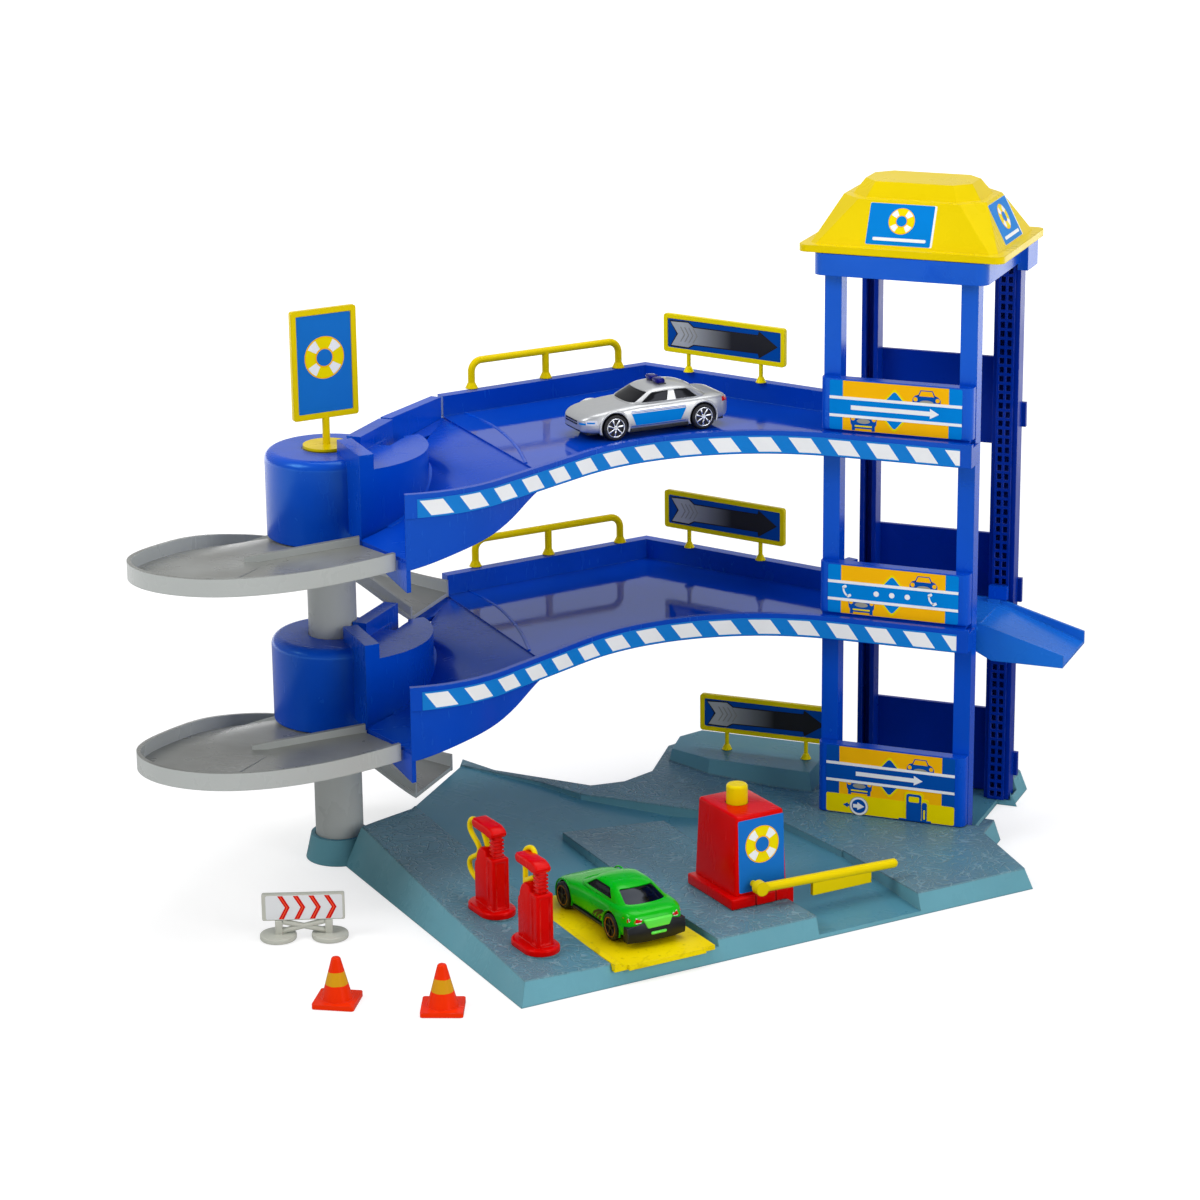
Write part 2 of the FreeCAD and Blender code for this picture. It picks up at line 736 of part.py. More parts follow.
def deck(level):
    z = deck_heights[level]
    inner = chute_inner(z)
    outer = chute_outer(z)
    rear = [corner(-166.5, -31.1, z), corner(-103, 54.3, z), corner(-10.6, 32.5, z),
            corner(-3.2, tower_depth - 6.0, z)]
    front = deck_front(z)
    deck_side = [rear[0], rear[1], rear[2], rear[3], corner(-fit, -fit, z),
                 corner(tower_width + ledge_overhang, -fit, z)]
    waist_end = Part.LineSegment(on_curve(front[2], 0.0), on_curve(front[2], 0.55))
    edges = [front[0].toShape(), front[1].toShape(), waist_end.toShape()]
    places = [on_curve(front[2], 0.55)] + deck_side + [on_curve(front[0], 0.0)]
    edges += [Part.makeLine(a, b) for a, b in zip(places, places[1:])]
    plate = Part.Face(Part.Wire(edges)).extrude(vec(0, 0, -deck_plate))
    drop = vec(0, 0, -fascia_drop)
    front_low = deck_front(z - fascia_drop)
    inside_low = deck_front(z - fascia_drop, fascia_thickness)
    fascia = band(front_low, inside_low, fascia_drop + fascia_rise)
    end_cap = box(corner(tower_width + ledge_overhang - fascia_thickness, -ledge_depth + 0.5, z) + drop,
                  corner(tower_width + ledge_overhang, -fit, z))
    wall = ribbon([p - vec(0, 0, rear_wall_drop) for p in rear], rear_wall_thickness,
                  rear_wall_drop + rear_wall_rise)
    chute = slab(inner, outer, deck_plate)
    margin = slab([corner(-164.3, -31, z - 0.2), corner(-169.0, -73, z - 3)],
                  [inner[0] - vec(-3, -2, 0.3), inner[1] - vec(-3, -3, 0.6)], deck_plate)
    skirt = band(deck_front(z - chute_tip_drop, skirt_step)[2:],
                 deck_front(z - chute_tip_drop, fascia_thickness)[2:], chute_tip_drop - fascia_drop / 2)
    low = z - chute_tip_drop - 20
    curve = spline([vec(0, y - tower_depth / 2, z - drop_at) for y, drop_at in skirt_edge])
    ends = [curve.Vertexes[0].Point, curve.Vertexes[-1].Point]
    below = Part.Face(Part.Wire([
        curve, Part.makeLine(ends[1], vec(0, ends[1].y, low)),
        Part.makeLine(vec(0, ends[1].y, low), vec(0, ends[0].y, low)),
        Part.makeLine(vec(0, ends[0].y, low), ends[0]),
    ]))
    below.translate(vec(corner(-200, 0).x, 0, 0))
    skirt = skirt.cut(below.extrude(vec(200, 0, 0)))
    tip = on_curve(deck_front(z, skirt_step)[3], 1.0)
    root = inner[-1]
    plane = (tip - vec(root.x, root.y, tip.z)).normalize()
    back = vec(-plane.y, plane.x) * end_plate_thickness
    end_plate = face_of([
        vec(root.x, root.y, z - chute_drop - deck_plate / 2), vec(root.x, root.y, z - chute_drop - 4.5),
        vec(tip.x, tip.y, z - chute_tip_drop), vec(tip.x, tip.y, z - chute_drop - deck_plate / 2),
    ]).extrude(back)
    return joined(plate, fascia, end_cap, wall, chute, margin, skirt, end_plate)


def wall_segment():
    """The short wall that closes the open side of the upper deck."""
    z = deck_heights["upper"]
    points = [corner(-167.2, -34.0, z - segment_drop), corner(-172.3, leg_end + 2, z - segment_drop)]
    return ribbon(points, rear_wall_thickness, segment_drop + rear_wall_rise)


def core(level):
    """The hollow core of the spiral with its sector block and the raised corner on top."""
    z = deck_heights[level]
    top = z + core_rise
    bottom = z - dish_drop + core_lift
    drum = cylinder(core_radius, top - bottom, AXIS + vec(0, 0, bottom))
    rim = [e for e in drum.Edges if e.BoundBox.ZMin > top - 0.01 and e.BoundBox.ZLength < 0.01]
    drum = drum.makeFillet(core_round, rim)
    low = z - block_drop
    block = sector(block_radius, block_start, block_end, low, top)
    raised = z + rear_wall_rise
    flange = box(vec(14, 0, low), vec(block_radius, corner_width, raised))
    flange = turned(flange, block_start, AXIS)
    rounder = cylinder(block_radius, raised - low, AXIS + vec(0, 0, low))
    flange = flange.common(rounder)
    leg = ribbon([corner(-171.5, -109, top - leg_depth), corner(-171.2, leg_end, top - leg_depth)],
                 corner_width, raised - top + leg_depth)
    hollow = cylinder(core_radius - core_wall, top - bottom - core_wall + 1, AXIS + vec(0, 0, bottom - 1))
    inside = sector(block_radius - core_wall, block_start + 6, block_end - 5, low - 1, top - core_wall)
    bore = cylinder(column_radius + fit, top - bottom + 2, AXIS + vec(0, 0, bottom - 1))
    pocket = ribbon([corner(-164.4, -95, z - pocket_depth), corner(-164.4, -79, z - pocket_depth)],
                    pocket_width, pocket_depth + core_rise + 1)
    solid = fused(drum, block, flange, leg)
    return solid.cut(fused(hollow, inside.cut(pocket_shell(pocket)), bore, pocket))


def pocket_shell(pocket):
    """The pocket's own walls and floor, which the hollow below leaves standing."""
    box_of = pocket.BoundBox
    return Part.makeBox(box_of.XLength + 4, box_of.YLength + 4, box_of.ZLength + 2,
                        vec(box_of.XMin - 2, box_of.YMin - 2, box_of.ZMin - 2))


def sector(radius, start, end, z0, z1):
    pie = Part.makeCylinder(radius, z1 - z0, vec(0, 0, 0), UP, end - start)
    return turned(pie, start, AXIS + vec(0, 0, z0))


# Trays
def tray_rim_points(z):
    """The rim's top, from where a car comes in round to where it leaves; z is the deck above."""
    spots = [
        (-130.7, -157.5, 24.5), (-144.5, -182.3, 24.5), (-163.6, -203.9, 24.5), (-187.3, -215.9, 24.8),
        (-216.9, -213.0, 25.3), (-233.0, -196.8, 26.5), (-237.5, -165.0, 29.5), (-237.5, -125.0, 36.0),
        (-235.2, -104.0, 41.0), (-230.5, -84.0, 46.5), (-215.0, -52.0, 59.5), (-190.0, -37.0, 70.0),
        (-163.5, -34.0, 74.5),
    ]
    return [corner(x, y, z - drop) for x, y, drop in spots]


def spiral_tray(level):
    z = deck_heights[level]
    rim_top = tray_rim_points(z)
    rim = curb(list(reversed(rim_top)), tray_rim_wall, tray_rim)
    floor_drop = tray_rim - tray_plate
    outer = [p - vec(0, 0, floor_drop) for p in reversed(beside(list(reversed(rim_top)), 1.0))]
    outer[0] = outer[0] + vec(0, 0, 28.3 - 24.5 + floor_drop - 5.8)
    hub_z = z - dish_drop
    tip = corner(-155.4, -140.6, z - chute_drop - 1.5)
    vee = corner(-197, -163, z - dish_drop + 1.2)
    mid = corner(-176.5, -152.5, z - chute_drop - 4.6)
    near_vee = vee + (mid - vee) * 0.3
    entry = slab([tip, mid, near_vee, vee], outer[:4], tray_plate)
    hub = [around(column_radius + 1, angle, hub_z) for angle in (-48, -72, -91, -106, -118, -133, -160, -182)]
    shelf = slab(hub[:3], [tip - vec(0, 0, 6.5), mid - vec(0, 0, 3.2), vee], tray_plate)
    dish = slab(hub[2:], outer[3:9], tray_plate)
    lane_inner = [corner(-213.8, -106, z - 38.5), corner(-206, -85, z - 50), corner(-187, -76, z - 65),
                  corner(-163.5, -74, z - storey + tray_plate + fit)]
    outer[-1] = corner(-163.5, -35.2, z - storey + tray_plate + fit)
    lane = slab(lane_inner, [outer[8], outer[9], outer[10], outer[-1]], tray_plate)
    inner_rim = curb([p + vec(0, 0, 4.5) for p in lane_inner], tray_rim_wall, 4.5 + tray_plate)
    start = tip + vec(0.4, 0.2, 3.5)
    end = vee + vec(0, 0, 3.0)
    divider = slab([start + vec(0.3, -0.5), end + vec(0.3, -0.5)],
                   [start + vec(-0.8, 1.4), end + vec(-0.8, 1.4)], 9.5)
    ring = cylinder(column_radius + fit + 3, 7.2, AXIS + vec(0, 0, hub_z - 6.0))
    bore = cylinder(column_radius + fit, 60, AXIS + vec(0, 0, hub_z - 30))
    return joined(rim, entry, dish, lane, inner_rim, shelf, divider, ring).cut(bore)


def column(z0, z1):
    outer = cylinder(column_radius, z1 - z0, AXIS + vec(0, 0, z0))
    return outer.cut(cylinder(column_radius - column_wall, z1 - z0, AXIS + vec(0, 0, z0)))


# Railings and signs
def railing(level):
    z = deck_heights[level] + rear_wall_rise + fit
    top = z + railing_height
    first = corner(-158.5, -15.0, z)
    last = corner(-111.5, 42.6, z)
    middle = (first + last) * 0.5
    rail = rod([first, vec(first.x, first.y, top), vec(last.x, last.y, top), last], rod_radius, 5.0)
    pieces = [rail, cylinder(rod_radius, railing_height, middle)]
    pieces += [Part.makeCone(rod_radius * 1.8, rod_radius, 2.6, foot) for foot in (first, middle, last)]
    return fused(pieces)


def direction_sign():
    """A framed sign on two legs, its feet on z = 0."""
    half = sign_width / 2
    plate = box(vec(-half, -sign_thickness / 2, sign_leg),
                vec(half, sign_thickness / 2, sign_leg + sign_height))
    plate = plate.makeFillet(1.4, [e for e in plate.Edges if e.BoundBox.YLength > sign_thickness / 2])
    border = 2.0
    label = box(vec(-half + border, -sign_thickness / 2 - 1, sign_leg + border),
                vec(half - border, -sign_thickness / 2 + label_recess, sign_leg + sign_height - border))
    plate = plate.cut(label)
    legs = []
    for side in (-0.5, 0.5):
        foot = vec(side * sign_leg_spacing, 0, 0)
        legs.append(cylinder(0.95, sign_leg + 0.5, foot))
        legs.append(Part.makeCone(2.4, 1.2, 2.4, foot))
    return fused(plate, legs)


def flag_sign():
    """The sign on top of the spiral: a framed plate on a pole with a round foot that turns."""
    z = deck_heights["upper"] + core_rise
    disc = cylinder(column_radius - 0.3, 1.2, vec(0, 0, 0))
    spigot = cylinder(column_radius - column_wall - fit, 5.0, vec(0, 0, -5.0))
    pole = cylinder(1.6, flag_pole + 1.0, vec(0, 0, 1.0))
    half = flag_width / 2
    z0 = 1.2 + flag_pole
    plate = box(vec(-half, -sign_thickness / 2, z0), vec(half, sign_thickness / 2, z0 + flag_height))
    plate = plate.makeFillet(1.2, [e for e in plate.Edges if e.BoundBox.YLength > sign_thickness / 2])
    border = 2.4
    label = box(vec(-half + border, -sign_thickness / 2 - 1, z0 + border),
                vec(half - border, -sign_thickness / 2 + label_recess, z0 + flag_height - border))
    sign = fused(disc, spigot, pole, plate.cut(label))
    return turned(sign, base_angle, AXIS + vec(0, 0, z + 0.3))


# Fuel pumps, made about their foot with the head over +Y
def fuel_pump():
    foot = slot_prism(pump_foot_length, pump_foot_width, 0, 2.4)
    body = box(vec(-4.5, -6.8, 2.0), vec(4.5, 6.8, 26.0))
    body = body.makeFillet(1.6, [e for e in body.Edges if e.BoundBox.ZLength > 10])
    neck = cylinder(2.6, 14.0, vec(0, -4.2, 24.0))
    rings = [cylinder(3.2, 1.2, vec(0, -4.2, 26.6 + step * 2.4)) for step in range(4)]
    head = box(vec(-3.2, -7.6, 34.6), vec(3.2, 9.4, 40.0))
    head = head.makeFillet(1.8, [e for e in head.Edges if e.BoundBox.XLength > 3])
    return fused(foot, body, neck, rings, head)


def slot_prism(length, width, z0, z1):
    """A prism with round ends along Y."""
    radius = width / 2
    half = length / 2 - radius
    middle = box(vec(-radius, -half, z0), vec(radius, half, z1))
    ends = [cylinder(radius, z1 - z0, vec(0, sign * half, z0)) for sign in (-1, 1)]
    return fused(middle, ends)


def fuel_hose():
    """A moulded hose from the far end of the pump's head down to its body."""
    z = 35.0
    path = [vec(0, 8.0, z - 0.6), vec(0, 10.6, z - 6), vec(0, 11.4, z - 13), vec(0, 9.4, z - 19),
            vec(0, 8.0, z - 22)]
    return rod(path, 1.1, 6.0)


# Booth with button, arm and spring, made in the base plate's own frame about (u, v)
def booth_place(shape):
    """From the base plate's frame to the station's."""
    return turned(shape, base_angle, on_base(0, 0))


def booth_plinth():
    z0 = sidewalk_height + fit / 2
    block = box(vec(110.7, 24, z0), vec(146, 62, z0 + plinth_height))
    recess = box(vec(booth_u0 + 1.5, booth_v0 + 1.5, z0 + 1.2),
                 vec(booth_u1 - 1.5, booth_v1 - 1.5, z0 + 20))
    over_road = box(vec(kerb_middle_far - 2, 20, 0), vec(160, 80, z0))
    step = box(vec(kerb_middle_far + fit, 24, street_height + 0.2), vec(146, 62, z0 + 0.5))
    return booth_place(block.cut(fused(recess, over_road)).fuse(step))


def booth_shell():
    z0 = sidewalk_height + fit + plinth_height
    z1 = z0 + booth_height
    taper = 1.2
    outer = frustum(booth_u0, booth_u1, booth_v0, booth_v1, z0, z1, taper)
    inner = frustum(booth_u0 + booth_wall, booth_u1 - booth_wall, booth_v0 + booth_wall,
                    booth_v1 - booth_wall, z0 - 0.5, z1 - booth_wall, taper)
    shelf = box(vec(booth_u0 + 1, booth_v0 + 1, shelf_z), vec(booth_u1 - 1, booth_v1 - 1, shelf_z + 1.6))
    shelf = shelf.common(outer)
    boss_length = booth_v0 + 3 - arm_v - arm_radius - running
    boss = cylinder(4.0, boss_length, vec(arm_u, booth_v0 + 3, arm_z), vec(0, -1, 0))
    shell = fused(outer.cut(inner), shelf, boss)
    top_hole = cylinder(button_radius + running, 10, vec(button_u, button_v, z1 - 5))
    stem_hole = cylinder(stem_radius + running, 10, vec(button_u, button_v, shelf_z - 3))
    bore = cylinder(axle_pin_radius + running / 2, 30, vec(arm_u, booth_v0 + 10, arm_z), vec(0, -1, 0))
    return booth_place(shell.cut(fused(top_hole, stem_hole, bore)))


def frustum(x0, x1, y0, y1, z0, z1, lean):
    low = [vec(x0, y0), vec(x1, y0), vec(x1, y1), vec(x0, y1)]
    return tapered(low, z0, z1, lean)


def button_top():
    return sidewalk_height + fit + plinth_height + booth_height + button_rise


def booth_button():
    """The push button: a cap with a collar that keeps it in, a stem and a tooth over the crank."""
    top = button_top()
    under = top - button_rise - booth_wall - running
    cap = cylinder(button_radius, top - under + 2, vec(button_u, button_v, under - 2))
    cap = cap.makeFillet(1.2, [e for e in cap.Edges if e.BoundBox.ZMin > top - 0.01])
    keeper = cylinder(button_radius + 1.4, 2.0, vec(button_u, button_v, under - 2))
    crank_rise = crank_length * math.sin(math.radians(arm_swing / 2))
    tooth_z = arm_z + crank_rise + crank_tip + 0.6
    bridge_z = arm_z + crank_hub_radius + 0.5 + 2 * crank_rise
    tooth_u = arm_u - crank_hub_radius - 0.7
    stem = cylinder(stem_radius, under - bridge_z - 1, vec(button_u, button_v, bridge_z))
    bridge = box(vec(tooth_u - 2.6, button_v - 2, bridge_z),
                 vec(button_u + stem_radius, button_v + 2, bridge_z + 2))
    tooth = box(vec(tooth_u - 2.6, button_v - 2, tooth_z), vec(tooth_u, button_v + 2, bridge_z + 1))
    return booth_place(fused(cap, keeper, stem, bridge, tooth))


def button_spring():
    """The spring between the shelf and the button's collar."""
    base = shelf_z + 1.6 + fit / 2
    top = button_top() - button_rise - booth_wall - running - 2 - fit / 2
    middle = 3.2
    wire = 0.45
    turns = 5
    pitch = (top - base - 2 * wire) / turns
    helix = Part.makeHelix(pitch, top - base - 2 * wire, middle)
    ring = Part.Wire([Part.makeCircle(wire, vec(middle, 0, 0), vec(0, 1, 0))])
    coil = Part.Wire(helix).makePipeShell([ring], True, True)
    coil.translate(vec(button_u, button_v, base + wire))
    return booth_place(coil)


def barrier_arm():
    """The arm with its hanging plate, and the pin and crank that turn it."""
    pin_length = button_v + 2 - arm_v
    pin = cylinder(axle_pin_radius, pin_length, vec(arm_u, arm_v, arm_z), vec(0, 1, 0))
    hub = cylinder(arm_radius + 1.0, 2 * arm_radius, vec(arm_u, arm_v - arm_radius, arm_z), vec(0, 1, 0))
    end = vec(arm_u + arm_length, arm_v, arm_z - arm_sag)
    along = (end - vec(arm_u, arm_v, arm_z))
    bar = cylinder(arm_radius, along.Length, vec(arm_u, arm_v, arm_z), along)
    tip = Part.makeSphere(arm_radius, end)
    plate = box(vec(arm_u + 25, arm_v - 0.9, arm_z - 8.2), vec(arm_u + 54.0, arm_v + 0.9, arm_z - 1.0))
    turn = math.radians(arm_swing / 2)
    crank_end = vec(arm_u - crank_length * math.cos(turn), button_v, arm_z + crank_length * math.sin(turn))
    knob = cylinder(crank_tip, 3.0, crank_end - vec(0, 1.5, 0), vec(0, 1, 0))
    web = cylinder(0.7, crank_length, vec(arm_u, button_v, arm_z), crank_end - vec(arm_u, button_v, arm_z))
    crank_hub = cylinder(crank_hub_radius, 3.0, vec(arm_u, button_v - 1.5, arm_z), vec(0, 1, 0))
    return booth_place(fused(pin, hub, bar, tip, plate, knob, web, crank_hub))


# Model cars, made about the middle of the two axles on the ground, driving towards +X
def car(size):
    """Body, chassis, windows and the two axles with their wheels, as a dict of shapes."""
    base = size["wheelbase"]
    radius = size["wheel"]
    width = size["width"]
    profile = [vec(x, 0, z) for x, z in size["side"]]
    side = face_of(profile)
    side.translate(vec(0, -width / 2, 0))
    hull = side.extrude(vec(0, width, 0))
    plan = size["plan"]
    outline = [vec(x, y * width / 2, 0) for x, y in plan]
    outline += [vec(p.x, -p.y, 0) for p in reversed(outline)]
    hull = hull.common(prism(outline, 0, 40))
    shell = fused(hull, cabin_block(size, 0))
    glass = cabin_block(size, size["glass_gap"])
    arches = []
    for x in (-base / 2, base / 2):
        start = vec(x, -width / 2 - 2, radius)
        arches.append(Part.makeCylinder(radius + 0.9, width + 4, start, vec(0, 1, 0)))
    floor = box(vec(-size["length"], -width, -1), vec(size["length"], width, size["sill"] + 1.2))
    panes = []
    for x0, x1, z0, z1 in size["side_panes"]:
        panes.append(box(vec(x0, -width, z0), vec(x1, width, z1)))
    for pane in size["end_panes"]:
        panes.append(box(*pane))
    rooms = [box(vec(-base / 2 + radius + 2.5, -width / 2 + 2.5, 0),
                 vec(base / 2 - radius - 2.5, width / 2 - 2.5, 10)),
             box(vec(-size["length"] / 2 + 8, -width / 2 + wheel_width + 2, 0),
                 vec(size["length"] / 2 - 8, width / 2 - wheel_width - 2, 9))]
    body = shell.cut(fused(arches, floor, glass, rooms)).cut(fused(panes))
    inner = box(vec(-size["length"] / 2 + 3, -width / 2 + wheel_width + 0.6, size["sill"]),
                vec(size["length"] / 2 - 3, width / 2 - wheel_width - 0.6, size["sill"] + 1.0))
    between = box(vec(-base / 2 + radius + 1.2, -width / 2 + 1.2, size["sill"]),
                  vec(base / 2 - radius - 1.2, width / 2 - 1.2, size["sill"] + 1.0))
    tunnels = []
    bearers = []
    for x in (-base / 2, base / 2):
        tunnels.append(cylinder(axle_radius + 0.1, width, vec(x, -width / 2, radius), vec(0, 1, 0)))
        bearers.append(box(vec(x - 2.5, -width / 2 + wheel_width + 1.0, size["sill"]),
                           vec(x + 2.5, width / 2 - wheel_width - 1.0, radius + 1.4)))
    chassis = fused(inner, between, bearers).cut(fused(tunnels))
    body = body.cut(grown(bearers))
    wheels = {}
    for name, x in (("rear", -base / 2), ("front", base / 2)):
        wheels[name] = wheel_pair(x, radius, width)
    windows = cabin_block(size, size["glass_gap"] + 0.12).cut(grown(bearers))
    return {"body": body, "chassis": chassis, "windows": windows, "wheels": wheels}


def grown(blocks):
    """Room for some blocks, a little larger than they are."""
    rooms = []
    for block in blocks:
        b = block.BoundBox
        rooms.append(box(vec(b.XMin - fit, b.YMin - fit, b.ZMin - 5),
                         vec(b.XMax + fit, b.YMax + fit, b.ZMax + fit)))
    return fused(rooms)


def cabin_block(size, shrink):
    """The cabin as a solid, from the belt line to the roof, its sides moved in by a distance."""
    rings = []
    for x0, x1, half, z in size["cabin"]:
        low = z == size["cabin"][0][3]
        height = z - 0.5 if low and shrink else z
        height = height if low else z - shrink
        x_a = x0 + shrink * 1.4
        x_b = x1 - shrink * 1.4
        y = half - shrink
        cut = 1.6
        rings.append([
            vec(x_a + cut, -y, height), vec(x_b - cut, -y, height), vec(x_b, -y + 2 * cut, height),
            vec(x_b, y - 2 * cut, height), vec(x_b - cut, y, height), vec(x_a + cut, y, height),
            vec(x_a, y - 2 * cut, height), vec(x_a, -y + 2 * cut, height), vec(x_a + cut, -y, height),
        ])
    return Part.makeLoft([Part.makePolygon(ring) for ring in rings], True, True)


def wheel_pair(x, radius, width):
    """Two wheels with dished, spoked faces on one steel axle."""
    shapes = []
    axle = Part.makeCylinder(axle_radius, width - 2.0, vec(x, -width / 2 + 1.0, radius), vec(0, 1, 0))
    shapes.append(axle)
    for sign in (-1, 1):
        outer_face = vec(x, sign * width / 2, radius)
        tyre = Part.makeCylinder(radius, wheel_width, outer_face, vec(0, -sign, 0))
        dish = Part.makeCylinder(radius * 0.66, 0.8, outer_face, vec(0, -sign, 0))
        spokes = []
        for index in range(5):
            spoke = box(vec(0, -0.45, -0.55), vec(radius * 0.68, 0.45, 0.55))
            spoke.rotate(vec(0, 0, 0), vec(0, 1, 0), index * 72)
            spoke.translate(outer_face + vec(0, -sign * 0.75, 0))
            spokes.append(spoke)
        hub = Part.makeCylinder(1.1, 0.8, outer_face + vec(0, -sign * 0.2, 0), vec(0, -sign, 0))
        shapes.append(fused(tyre.cut(dish), spokes, hub).cut(axle))
    return Part.makeCompound(shapes)


SILVER = {
    "wheelbase": 42.0, "wheel": 5.5, "width": 28.0, "length": 71.0, "sill": 2.6, "glass_gap": 0.9,
    "side": [(-35.0, 4.0), (35.0, 3.6), (35.6, 7.6), (33.5, 10.2), (21.0, 13.0), (10.0, 13.6),
             (-18.0, 14.0), (-33.5, 13.6), (-35.6, 11.0)],
    "plan": [(-35.6, 0.72), (-33.0, 0.94), (-24.0, 1.0), (24.0, 1.0), (31.0, 0.88), (35.6, 0.60)],
    "cabin": [(-24.5, 13.0, 12.4, 13.0), (-15.5, 2.0, 9.6, 19.6)],
    "side_panes": [(-15.0, -7.2, 14.2, 18.4), (-6.2, 3.6, 14.2, 18.4)],
    "end_panes": [(vec(4.5, -9.0, 14.2), vec(14.0, 9.0, 18.4)),
                  (vec(-25.0, -9.0, 14.4), vec(-16.5, 9.0, 18.4))],
}

GREEN = {
    "wheelbase": 40.0, "wheel": 5.6, "width": 29.0, "length": 68.0, "sill": 2.6, "glass_gap": 0.9,
    "side": [(-33.5, 4.6), (33.5, 3.8), (34.0, 7.0), (31.0, 10.8), (20.0, 13.3), (4.0, 14.0),
             (-20.0, 14.6), (-32.0, 14.6), (-34.0, 11.5)],
    "plan": [(-34.0, 0.70), (-31.0, 0.95), (-20.0, 1.0), (20.0, 1.0), (29.0, 0.86), (34.0, 0.55)],
    "cabin": [(-27.5, 12.5, 12.2, 13.4), (-14.5, 0.5, 9.2, 20.0)],
    "side_panes": [(-14.0, 2.8, 14.6, 18.2)],
    "end_panes": [(vec(4.0, -8.6, 14.6), vec(13.0, 8.6, 18.6)),
                  (vec(-26.5, -8.6, 15.0), vec(-16.0, 8.6, 18.8))],
}


# Loose road pieces
def cone():
    foot = box(vec(-8.5, -8.5, 0), vec(8.5, 8.5, 2.0))
    foot = foot.makeFillet(1.2, [e for e in foot.Edges if e.BoundBox.ZLength > 1])
    body = Part.makeCone(6.2, 1.7, 17.3, vec(0, 0, 2.0))
    top = body.makeFillet(1.0, [e for e in body.Edges if e.BoundBox.ZMin > 19])
    hollow = Part.makeCone(5.6, 1.0, 16.0, vec(0, 0, -0.1))
    return fused(foot, top).cut(hollow)


def road_sign_panel():
    half = road_sign_width / 2
    plate = box(vec(-half, -1.0, road_sign_low), vec(half, 1.0, road_sign_high))
    plate = plate.makeFillet(0.8, [e for e in plate.Edges if e.BoundBox.YLength > 1])
    pegs = []
    for side in (-1, 1):
        pegs.append(cylinder(1.0, 3.0, vec(side * road_sign_feet_spacing / 2, 0, road_sign_low - 2.0)))
    return fused(plate, pegs)


def road_sign_feet():
    """Two crossed feet of two oval pads each, with a socket for the panel's peg."""
    feet = []
    for side in (-1, 1):
        place = vec(side * road_sign_feet_spacing / 2, 0, 0)
        bars = []
        for angle in (28, -28):
            bar = slot_prism(16.0, 2.4, 1.0, 3.4)
            bars.append(turned(bar, angle + 90, vec(0, 0, 0)))
            for end in (-1, 1):
                pad = slot_prism(6.0, 4.2, 0, 1.8)
                turn = math.radians(angle)
                spot = vec(math.cos(turn), math.sin(turn)) * (end * 6.6)
                bars.append(turned(pad, angle + 90, spot))
        post_piece = cylinder(1.8, road_sign_low - fit - 1.0, vec(0, 0, 1.0))
        foot = fused(bars, post_piece).cut(cylinder(1.0 + fit, 3.2, vec(0, 0, road_sign_low - 2.2)))
        foot.translate(place)
        feet.append(foot)
    return Part.makeCompound(feet)


